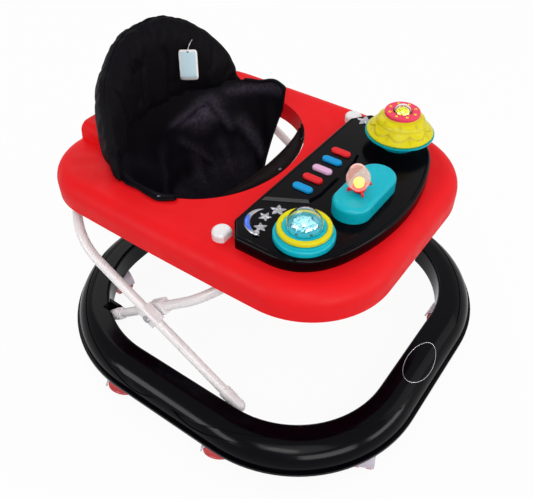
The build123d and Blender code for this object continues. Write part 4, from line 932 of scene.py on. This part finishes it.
class WALKER_OT_tag(bpy.types.Operator):
    """Blank swing tag on its thread, hung from the padded back"""

    bl_idname = "walker.tag"
    bl_label = "Blank tag"

    def execute(self, context):
        k = context.scene.walker_toys
        half_w, half_h = k.tag_w / 2, k.tag_h / 2
        wide = np.array([0.60, -0.80, 0.0])
        tall = np.array([0.1360, 0.1020, 0.9854])
        face = np.cross(wide, tall)
        centre = np.array([0.0540, 0.2145, 0.4397])
        hole_r, hole_y = 0.0017, half_h * 0.86
        # straight lines from the hole's circle to a rounded rectangle, a superellipse of power nine,
        # both by angle; the card curls with the square of its width
        turn = turns(96)
        c, s = np.cos(turn), np.sin(turn)
        r = (np.abs(c) ** 9 + np.abs(s) ** 9) ** (-1 / 9)
        q = np.linspace(0, 1, 9)[:, None] ** 1.5
        x = hole_r * c + (half_w * r * c - hole_r * c) * q
        y = hole_y + hole_r * s + (half_h * r * s - hole_y - hole_r * s) * q
        curl = 0.0012 * (x / half_w) ** 2
        grid = centre + x[..., None] * wide + y[..., None] * tall - curl[..., None] * face
        uv = np.stack([x / k.tag_w + 0.5, y / k.tag_h + 0.5], -1)
        tag = surface("blank_tag", grid, around=True, uv=uv)
        thicken(tag, 0.0006)
        place(tag, "tray", "tag")
        # thread: from a stitch in the pad, out through the card's hole and back
        eye = centre + hole_y * tall
        stitch = np.array([0.0790, 0.2245, 0.4715])
        out = -face * 0.004
        line = [
            stitch,
            stitch + out * 2.2 + [0, 0, 0.001],
            eye + out * 1.6 + tall * 0.004,
            eye + out * 0.6,
            eye - out * 0.9,
            stitch - wide * 0.005 + out * 0.9 - [0, 0, 0.004],
            stitch - wide * 0.004 - out * 0.1 - [0, 0, 0.001],
        ]
        curve = bpy.data.curves.new("tag_thread", "CURVE")
        curve.dimensions, curve.bevel_depth, curve.bevel_resolution = "3D", 0.0005, 3
        thread = curve.splines.new("NURBS")
        thread.points.add(len(line) - 1)
        thread.points.foreach_set("co", np.hstack([line, np.ones((len(line), 1))]).ravel())
        thread.order_u, thread.use_endpoint_u, thread.resolution_u = 3, True, 12
        loop = show("tag_thread", curve)
        place(loop, "tray", "loop")
        return {"FINISHED"}


class WALKER_OT_plate(bpy.types.Operator):
    """Blank oval label on the front of the base, with a thin silver line round it"""

    bl_idname = "walker.plate"
    bl_label = "Blank oval"

    def execute(self, context):
        k = context.scene.walker_toys
        centre = np.array([-0.013, -0.3055])
        half = np.array([k.plate_half_w, k.plate_half_h])
        over_rail = 0.13
        # rings of an ellipse over the rail, pressed down on it
        turn = turns(96)
        q = np.linspace(0, 1, 13)[:, None]
        flat = centre + half * np.stack([q * np.cos(turn), q * np.sin(turn)], -1)
        grid = np.concatenate([flat, np.full((*flat.shape[:2], 1), over_rail)], -1)
        label = surface("blank_oval", grid, around=True)
        press = label.modifiers.new("press", "SHRINKWRAP")
        press.target, press.wrap_method, press.use_negative_direction = NODES["base_ring"], "PROJECT", True
        press.use_project_z, press.use_positive_direction, press.offset = True, False, 0.0004
        bake(label)
        place(label, "base", "rail_black", slot="rail_black")
        # line: its path is the outer ring of the label, in order of angle
        points = read(label.data)
        x, y = ((points[:, :2] - centre) / half).T
        order = np.argsort(np.arctan2(y, x))
        edge = points[order[np.hypot(x, y)[order] > 0.995]]
        line = surface("blank_oval_line", sweep(edge, *ring(8, 0.0005, 0.0004), closed=True), around=True)
        place(line, "base", "trim_silver", slot="trim_silver")
        return {"FINISHED"}


def toy_nose(half):
    """Nose of the toy tray in plan: a shallow arc, as far as half on either side of its middle."""
    turn = np.radians(np.linspace(-NOSE_TURN, NOSE_TURN, 241))
    arc = np.stack([NOSE_R * np.sin(turn), NOSE_Y - NOSE_R * np.cos(turn)], -1)
    return arc[np.abs(arc[:, 0]) <= half]


def toy_plan(near, nose):
    """Outline of the toy tray, one point per half millimetre: round the far corners, the near ones and
    the nose, and back as its mirror image. A corner is given by where its curve starts, the point that
    both ends head for and where it stops, and is the quadratic curve that these three give."""
    far = (
        ((0.157, -0.045), (0.160, -0.045), (0.16238, -0.04682)),
        ((0.18762, -0.06618), (0.190, -0.068), (0.190, -0.071)),
    )
    t = np.linspace(0, 1, 25)[:, None]
    corners = (np.array(corner) for corner in (*far, *near))
    half = np.concatenate([a * (1 - t) ** 2 + 2 * b * t * (1 - t) + c * t**2 for a, b, c in corners])
    path = np.concatenate([half, nose[::-1][1:-1], (half * [-1, 1])[::-1], half[:1]])
    run = np.append(0, np.cumsum(np.linalg.norm(np.diff(path, axis=0), axis=1)))
    at = np.linspace(0, run[-1], int(run[-1] / 0.0005), endpoint=False)
    return np.stack([np.interp(at, run, axis) for axis in path.T], -1)


def inside(path, points):
    """How far points lie inside an outline, negative outside it, and its inward normal there, both at
    the outline's nearest point."""
    along = unit(np.roll(path, -1, 0) - np.roll(path, 1, 0))
    area = path[:, 0] @ np.roll(path[:, 1], -1) - path[:, 1] @ np.roll(path[:, 0], -1)
    normal = np.stack([-along[:, 1], along[:, 0]], -1) * np.sign(area)
    near = ((points[:, None] - path) ** 2).sum(-1).argmin(1)
    return ((points - path[near]) * normal[near]).sum(1), normal[near]


class WALKER_OT_toy_rim(bpy.types.Operator):
    """Toy tray with its near corners rounded off, and the rolled rim round it"""

    bl_idname = "walker.toy_rim"
    bl_label = "Toy tray rim"

    def execute(self, context):
        # the moulding has two near corners on each side, and the new outline one long curve. Along
        # the nose they are the same: the old one has only its middle, so that points there stay
        slant = ((0.190, -0.1485), (0.190, -0.163), (0.17926, -0.17273))
        tip = ((0.16245, -0.18797), (0.158, -0.192), (0.15269, -0.19479))
        old = toy_plan((slant, tip), toy_nose(0.006))
        nose = toy_nose(0.120)
        new = toy_plan((((0.190, -0.1186), (0.190, -0.1826), nose[-1]),), nose)
        # copies of the moulding and its plate: points up to 14 mm inside the old outline keep their
        # distance, from the new one, and the move fades out at 20 mm. They keep 0.2 mm at least, to
        # stay within the rim
        keep, fade, least = 0.014, 0.020, 0.0002
        for node in ("toy_tray_top", "toy_tray_plate"):
            solid = NODES[node].data
            points = read(solid)
            _, first, merged = np.unique(np.round(points, 5), axis=0, return_index=True, return_inverse=True)
            points = points[first]
            was = np.maximum(inside(old, points[:, :2])[0], least)
            now, normal = inside(new, points[:, :2])
            move = np.clip(was - now, 0, None) * np.clip((fade - was) / (fade - keep), 0, 1)
            points[:, :2] += move[:, None] * normal
            corners = np.empty(len(solid.loops), np.int32)
            solid.loops.foreach_get("vertex_index", corners)
            faces = merged.ravel()[corners].reshape(-1, 3)
            whole = (faces != np.roll(faces, 1, 1)).all(1)
            mesh = bpy.data.meshes.new(node + "_rounded")
            mesh.from_pydata(points.tolist(), [], faces[whole].tolist())
            mesh.validate()
            mesh.shade_smooth()
            mesh.set_sharp_from_angle(angle=0.5)
            place(show(node + "_rounded", mesh), "tray", "toy_black", node, slot="toy_black")
        # section of the rim, outwards and up from the deck's edge: a wall that rolls over a 4.2 mm
        # quarter circle on to the deck, and back down inside
        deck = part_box("toy_tray_top")[0][2] + 0.020
        roll = np.linspace(0, pi / 2, 9)
        wall = [(0.0004, -0.0197), (0.0004, -0.0130), (0.0004, -0.0070)]
        over = np.stack([-0.0038 + 0.0042 * np.cos(roll), -0.0040 + 0.0042 * np.sin(roll)], -1)
        lip = [(-0.0062, 0.0001), (-0.0062, -0.0012)]
        under = [(-0.0030, -0.0050), (-0.0010, -0.0120), (-0.0010, -0.0197)]
        path = np.column_stack([new, np.full(len(new), deck)])[::-4]
        grid = sweep(path, *np.concatenate([wall, over, lip, under]).T, closed=True)
        place(surface("toy_tray_rim", grid, around=True), "tray", "toy_black", slot="toy_black")
        return {"FINISHED"}


def crescent(name, first, turn, count, tip, taper, breadth, base, height, crown):
    """Half-ellipse sections along the crescent's arc, from an angle through a turn in degrees. Their
    breadth and height follow the sine of the way along, from tip on, to the power taper, and a low
    crown flattens them."""
    p = np.linspace(0, 1, count)[:, None]
    angle = np.radians(first + turn * p)
    share = np.sin(pi * np.clip(p, tip, 1 - tip)) ** taper
    over = np.linspace(0, pi, 15)
    r = MOON_R + breadth * share * np.cos(over)
    z = base + height * share * np.sin(over) ** crown
    return surface(name, np.stack([MOON_X + r * np.cos(angle), MOON_Y + r * np.sin(angle), z], -1))


class WALKER_OT_sky_toys(bpy.types.Operator):
    """Plated stars and the crescent with its lit lens"""

    bl_idname = "walker.sky_toys"
    bl_label = "Stars and crescent"

    def execute(self, context):
        peak = context.scene.walker_toys.star_peak
        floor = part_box("star_ornaments")[0][2]
        # star: radius goes straight from point to notch; rings climb from the wall to the peak
        reach = np.tile([1.0, 0.70, 0.47, 0.70], 5)
        share = np.array([0.0, 1.0, 1.0, 0.93, 0.50, 0.42, 0.0])[:, None]
        rise = np.array([0.0, 0.0, 0.30, 0.38, 0.70, 0.60, 1.0])[:, None] * peak
        # x, y and radius of each star, and its lean in degrees
        x, y, radius, lean = np.transpose(
            [
                (-0.110, -0.084, 0.0125, 8),
                (-0.132, -0.077, 0.0100, -14),
                (-0.154, -0.085, 0.0100, 20),
                (0.165, -0.070, 0.0150, 5),
            ]
        )[:, :, None, None]
        turn = turns(len(reach)) + pi / 2 + np.radians(lean)
        far = radius * share * reach
        grids = np.stack([x + far * np.cos(turn), y + far * np.sin(turn), floor + rise + 0 * far], -1)
        stars = surface("plated_stars", grids, around=True)
        stars.data.shade_flat()
        place(stars, "tray", "trim_silver", "star_ornaments", slot="trim_silver")
        # crescent, and its lens: shorter sections that stand over its crown
        plated = dict(first=48, turn=142, count=61, tip=0.004, taper=0.75, breadth=0.0046)
        moon = crescent("plated_crescent", **plated, base=floor, height=0.0040, crown=0.8)
        place(moon, "tray", "trim_silver", "moon_lens", slot="trim_silver")
        shorter = dict(first=96, turn=68, count=41, tip=0.002, taper=0.5, breadth=0.0036)
        lens = crescent("crescent_lens", **shorter, base=floor + 0.0030, height=0.0026, crown=1.0)
        place(lens, "tray", "lens", slot="clear")
        # knob at the lower horn: a ring with a bead in it
        horn = np.radians(181)
        eye = np.array([MOON_X + MOON_R * np.cos(horn), MOON_Y + MOON_R * np.sin(horn), floor + 0.0032])
        path = eye + np.column_stack([*ring(28, 0.0036, 0.0036), np.zeros(28)])
        knob = surface("crescent_knob", sweep(path, *ring(12, 0.0013, 0.0013), closed=True), around=True)
        place(knob, "tray", "trim_silver", slot="trim_silver")
        bead = ball(9, 16) * [0.0027, 0.0027, 0.0022] + eye - [0, 0, 0.0010]
        place(surface("crescent_bead", bead, around=True), "tray", "trim_silver", slot="trim_silver")
        return {"FINISHED"}


class WALKER_OT_dome_beads(bpy.types.Operator):
    """Loose pearl grains heaped under the clear dome, and a few dark beads round them"""

    bl_idname = "walker.dome_beads"
    bl_label = "Dome beads"

    def execute(self, context):
        low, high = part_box("dome_glass")
        x, y, _ = (low + high) / 2
        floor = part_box("dome_beads")[0][2]
        bead = ball(7, 10)
        # heap: a sunflower spiral, by the golden angle, whose height falls with the square of its radius
        count, golden, heap_r, heap_h = 58, 2.39996, 0.0150, 0.0085
        i = np.arange(count)
        far = heap_r * np.sqrt((i + 0.5) / count)
        grain = 0.0021 + 0.0007 * np.sin(i * 1.7)
        z = floor + grain + heap_h * (1 - (far / 0.0155) ** 2)
        spot = np.stack([x + 0.001 + far * np.cos(i * golden), y + 0.002 + far * np.sin(i * golden), z], -1)
        heap = surface("dome_pearls", spot[:, None, None] + grain[:, None, None, None] * bead, around=True)
        place(heap, "tray", "bead_white", "dome_beads", slot="bead_white")
        # dark beads: one turn of uneven steps near the wall of the bowl
        i = np.arange(9)
        turn = turns(9) + 0.4 * np.sin(i * 2.1)
        far = 0.0190 + 0.0012 * np.cos(i * 1.3)
        spot = np.stack([x + far * np.cos(turn), y + far * np.sin(turn), floor + 0.0022 + 0 * far], -1)
        dark = surface("dome_dark_beads", spot[:, None, None] + 0.0017 * bead, around=True)
        place(dark, "tray", "bead_teal", slot="bead_white")
        return {"FINISHED"}


class WALKER_OT_rocket(bpy.types.Operator):
    """Lit core inside the rocket's capsule"""

    bl_idname = "walker.rocket"
    bl_label = "Rocket light"

    def execute(self, context):
        lamp, shell = (np.mean(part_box(node), 0) for node in ("rocket_lamp", "rocket_capsule"))
        axis = unit(shell - lamp)
        side = unit(np.cross(axis, [0, 1, 0]))
        fore = np.cross(side, axis)
        # core: a ball drawn out along the capsule, its tip pulled in by the cube of its height
        core_r, core_half, lift = 0.0078, 0.0095, 0.0015
        x, y, z = np.moveaxis(ball(17, 24)[..., None], -2, 0)
        thin = 1 - 0.35 * np.clip(z, 0, 1) ** 3
        grid = lamp + core_r * thin * (x * side + y * fore) + (lift + core_half * z) * axis
        core = surface("rocket_core", grid, around=True)
        place(core, "rocket", "lamp_yellow", "rocket_lamp", slot="lamp_yellow")
        return {"FINISHED"}


class WALKER_OT_spinner(bpy.types.Operator):
    """Spinner saucer with a petalled skirt, a fluted tier, eight dots and an inner dome"""

    bl_idname = "walker.spinner"
    bl_label = "Spinner"

    def execute(self, context):
        k = context.scene.walker_toys
        low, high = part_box("spinner_saucer")
        x, y, _ = (low + high) / 2
        base = low[2]
        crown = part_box("spinner_ring")[0][2]
        tall = crown - base
        hole_r, ring_r, skirt_r = 0.0150, 0.0270, 0.0500
        # profile: radius and share of the height up the skirt, the waist, the tier and the crown
        radius, share = np.transpose(
            [
                *[(0.0512, 0.00), (0.0520, 0.05), (0.0512, 0.11), (0.0478, 0.20), (0.0440, 0.32)],
                *[(0.0410, 0.44), (0.0392, 0.53), (0.0384, 0.57), (0.0376, 0.66), (0.0352, 0.78)],
                *[(0.0320, 0.86), (0.0296, 0.91), (0.0276, 0.95), (0.0272, 1.00), (hole_r, 1.00)],
            ]
        )
        keys = np.linspace(0, 1, len(radius))
        t = np.linspace(0, 1, 113)[:, None]
        turn = turns(288)
        # petals swell the skirt by the sine of their angle, and flutes between them swell the tier
        petal = np.abs(np.sin(k.petals * turn / 2))
        flute = np.abs(np.sin(k.petals * turn / 2 + pi / 2))
        skirt, tier = bell(t, 0.28, 0.13), bell(t, 0.66, 0.09)
        swell = 0.6 * (petal - 0.72) * skirt + 0.5 * (flute - 0.72) * tier
        r = keyed(keys, radius, t) + k.petal_depth * swell
        z = base + tall * np.clip(keyed(keys, share, t), 0, 1) + 0.0016 * (petal - 0.6) * bell(t, 0.42, 0.05)
        # scallops: a step in the skirt that hangs lowest in the middle of each petal
        hang = t - (0.365 - 0.115 * petal**0.8)
        r = r + 0.0013 / (1 + np.exp(-hang / 0.012)) * bell(np.maximum(hang, 0), 0, 0.10)
        # shade under the scallops, between petals, between flutes, under the waist and over the tier
        painted_shade = 0.62 * bell(hang, 0, 0.022) + 0.5 * (1 - petal) ** 4 * skirt + 0.6 * (1 - flute) ** 3 * tier
        painted_shade = painted_shade + 0.45 * bell(t, 0.475, 0.028) * (0.4 + 0.6 * petal) + 0.35 * bell(t, 0.80, 0.03)
        # back down inside, 2 mm under the crown
        inner = np.linspace(hole_r, skirt_r, 30)[:, None]
        drop = np.clip(1 - ((inner - hole_r) / (skirt_r - hole_r)) ** 1.2, 0.02, 1)
        r = np.concatenate([r, inner + 0 * turn, r[:1]])
        z = np.concatenate([z, base + tall * drop - 0.002 + 0 * turn, z[:1]])
        plain = np.zeros((len(inner) + 1, len(turn)))
        grid = np.stack([x + r * np.cos(turn), y + r * np.sin(turn), z], -1)
        shade = np.concatenate([np.clip(painted_shade, 0, 1), plain])
        saucer = surface("spinner_petals", grid, around=True, painted_shade=shade)
        place(saucer, "spinner", "saucer", "spinner_saucer", slot="toy_yellow")
        # dots: flat domes in the ring's holes
        far_x, far_y = ring(8, (ring_r + hole_r) / 2, (ring_r + hole_r) / 2)
        spot = np.stack([x + far_x, y + far_y, np.full(8, high[2] - 0.0006)], -1)
        dome = ball(9, 18) * [0.0024, 0.0024, 0.0012]
        dots = surface("spinner_dots", spot[:, None, None] + dome, around=True)
        place(dots, "spinner", "toy_yellow", slot="toy_yellow")
        # inner dome: the upper half of a flattened ball
        heart = ball(17, 40)[:9] * [0.0118, 0.0118, 0.0100] + [x, y, crown]
        place(surface("spinner_heart", heart, around=True), "spinner", "toy_yellow", slot="toy_yellow")
        return {"FINISHED"}


def in_view(tree):
    """Socket that is 1 where the camera sees a surface, straight, in a gloss or through something clear."""
    path = add(tree, "LightPath").outputs
    gloss = add(tree, "Math", {0: path["Is Camera Ray"], 1: path["Is Glossy Ray"]}, operation="MAXIMUM")
    both = {0: gloss.outputs[0], 1: path["Is Transmission Ray"]}
    return add(tree, "Math", both, operation="MAXIMUM").outputs[0]


def paper_sweep():
    """Matt white paper: most of its light is its own, so it stays white and keeps the shadow."""
    material, tree, _ = start("white_paper_sweep")
    own = add(tree, "Math", {0: in_view(tree), 1: 0.93}, operation="MULTIPLY")
    matt = add(tree, "BsdfDiffuse", {"Color": (0.86, 0.86, 0.86, 1)})
    glow = add(tree, "Emission", {"Color": (1, 1, 1, 1), "Strength": 1.0})
    paper = add(tree, "MixShader", {0: own.outputs[0], 1: matt.outputs[0], 2: glow.outputs[0]})
    add(tree, "OutputMaterial", {"Surface": paper.outputs[0]})
    return material


def softbox(name, power, spot, wide, tall):
    """Area light at a spot."""
    lamp = bpy.data.lights.new(name, "AREA")
    lamp.shape, lamp.size, lamp.size_y, lamp.energy = "RECTANGLE", wide, tall, power
    holder = show(name, lamp)
    holder.location = spot
    return holder


class WALKER_OT_stage(bpy.types.Operator):
    """White floor, soft studio light and the camera"""

    bl_idname = "walker.stage"
    bl_label = "Stage"

    def execute(self, context):
        k = context.scene.walker_stage
        scene = context.scene
        scene.view_settings.view_transform = "Standard"
        # floor: a disc of rings by angle, a hair under the wheels
        turn = turns(64)
        r = np.linspace(0, 9, 10)[:, None]
        disc = np.stack([r * np.cos(turn), r * np.sin(turn), 0 * r * turn - 0.0002], -1)
        floor = surface("floor", disc, around=True)
        floor.data.materials.append(paper_sweep())
        # room: white where it is seen, dimmer as a light
        world = bpy.data.worlds.new("white_room")
        world.use_nodes = True
        tree = world.node_tree
        tree.nodes.clear()
        power = add(tree, "MapRange", {"Value": in_view(tree), "To Min": k.sky, "To Max": 1.0})
        sky = add(tree, "Background", {"Color": (1, 1, 1, 1), "Strength": power.outputs[0]})
        add(tree, "OutputWorld", {"Surface": sky.outputs[0]})
        scene.world = world
        for name, power, spot, turn, wide in (
            ("key", k.key_power, (-1.5, -1.2, 2.6), (0.50, -0.30, -0.5), 1.8),
            ("fill", k.fill_power, (1.6, -2.0, 1.8), (0.85, 0.35, 0.2), 1.6),
            ("rim", k.rim_power, (0.9, 2.0, 2.2), (-0.72, 0.25, 0.1), 1.4),
        ):
            softbox(name, power, spot, wide, wide).rotation_euler = turn
        # strips that show only as reflections in the gloss, turned to the middle of the floor
        for name, spot, wide, tall in (
            ("strip_left", (-1.90, 0.70, 0.90), 1.2, 0.6),
            ("strip_camera", (-1.47, -0.70, 1.70), 0.8, 0.5),
            ("strip_front", (-1.25, -1.95, 0.85), 1.5, 0.7),
            ("strip_right", (0.42, -2.20, 0.72), 1.3, 0.5),
        ):
            strip = softbox(name, k.strip_glow * pi * wide * tall, spot, wide, tall)
            strip.rotation_euler = (-Vector(spot)).to_track_quat("-Z", "Y").to_euler()
            strip.visible_diffuse = strip.visible_camera = False
        # camera, as solved from the photograph: its place, how far it looks down and its heading
        lens = bpy.data.cameras.new("camera")
        lens.lens, lens.sensor_width, lens.sensor_fit = k.lens, 36.0, "HORIZONTAL"
        lens.clip_start, lens.clip_end = 0.05, 40.0
        look_down, heading = 0.7561, -0.9517
        eye = show("camera", lens)
        eye.location = (-0.6928, -0.479, 0.9652)
        eye.rotation_euler = (pi / 2 - look_down, 0, heading)
        scene.camera = eye
        return {"FINISHED"}


STEPS = (
    WALKER_OT_mouldings,
    WALKER_OT_seat_back,
    WALKER_OT_sling,
    WALKER_OT_front_band,
    WALKER_OT_studs,
    WALKER_OT_tag,
    WALKER_OT_plate,
    WALKER_OT_toy_rim,
    WALKER_OT_sky_toys,
    WALKER_OT_dome_beads,
    WALKER_OT_rocket,
    WALKER_OT_spinner,
    WALKER_OT_stage,
)


class WALKER_PT_panel(bpy.types.Panel):
    """Sizes, colours and steps of the walker"""

    bl_label = "Baby walker"
    bl_idname = "WALKER_PT_panel"
    bl_space_type = "VIEW_3D"
    bl_region_type = "UI"
    bl_category = "Walker"

    def draw(self, context):
        for step in STEPS:
            self.layout.operator(step.bl_idname)
        for key, group in GROUPS.items():
            box = self.layout.box()
            for field in group.__annotations__:
                box.prop(getattr(context.scene, key), field)


def register():
    for group in (*GROUPS.values(), *STEPS, WALKER_PT_panel):
        bpy.utils.register_class(group)
    for key, group in GROUPS.items():
        setattr(bpy.types.Scene, key, PointerProperty(type=group))


def unregister():
    for key in GROUPS:
        delattr(bpy.types.Scene, key)
    for group in (WALKER_PT_panel, *reversed(STEPS), *reversed(GROUPS.values())):
        bpy.utils.unregister_class(group)


def main():
    register()
    for step in STEPS:
        group, name = step.bl_idname.split(".")
        getattr(getattr(bpy.ops, group), name)()


if __name__ == "__main__":
    main()
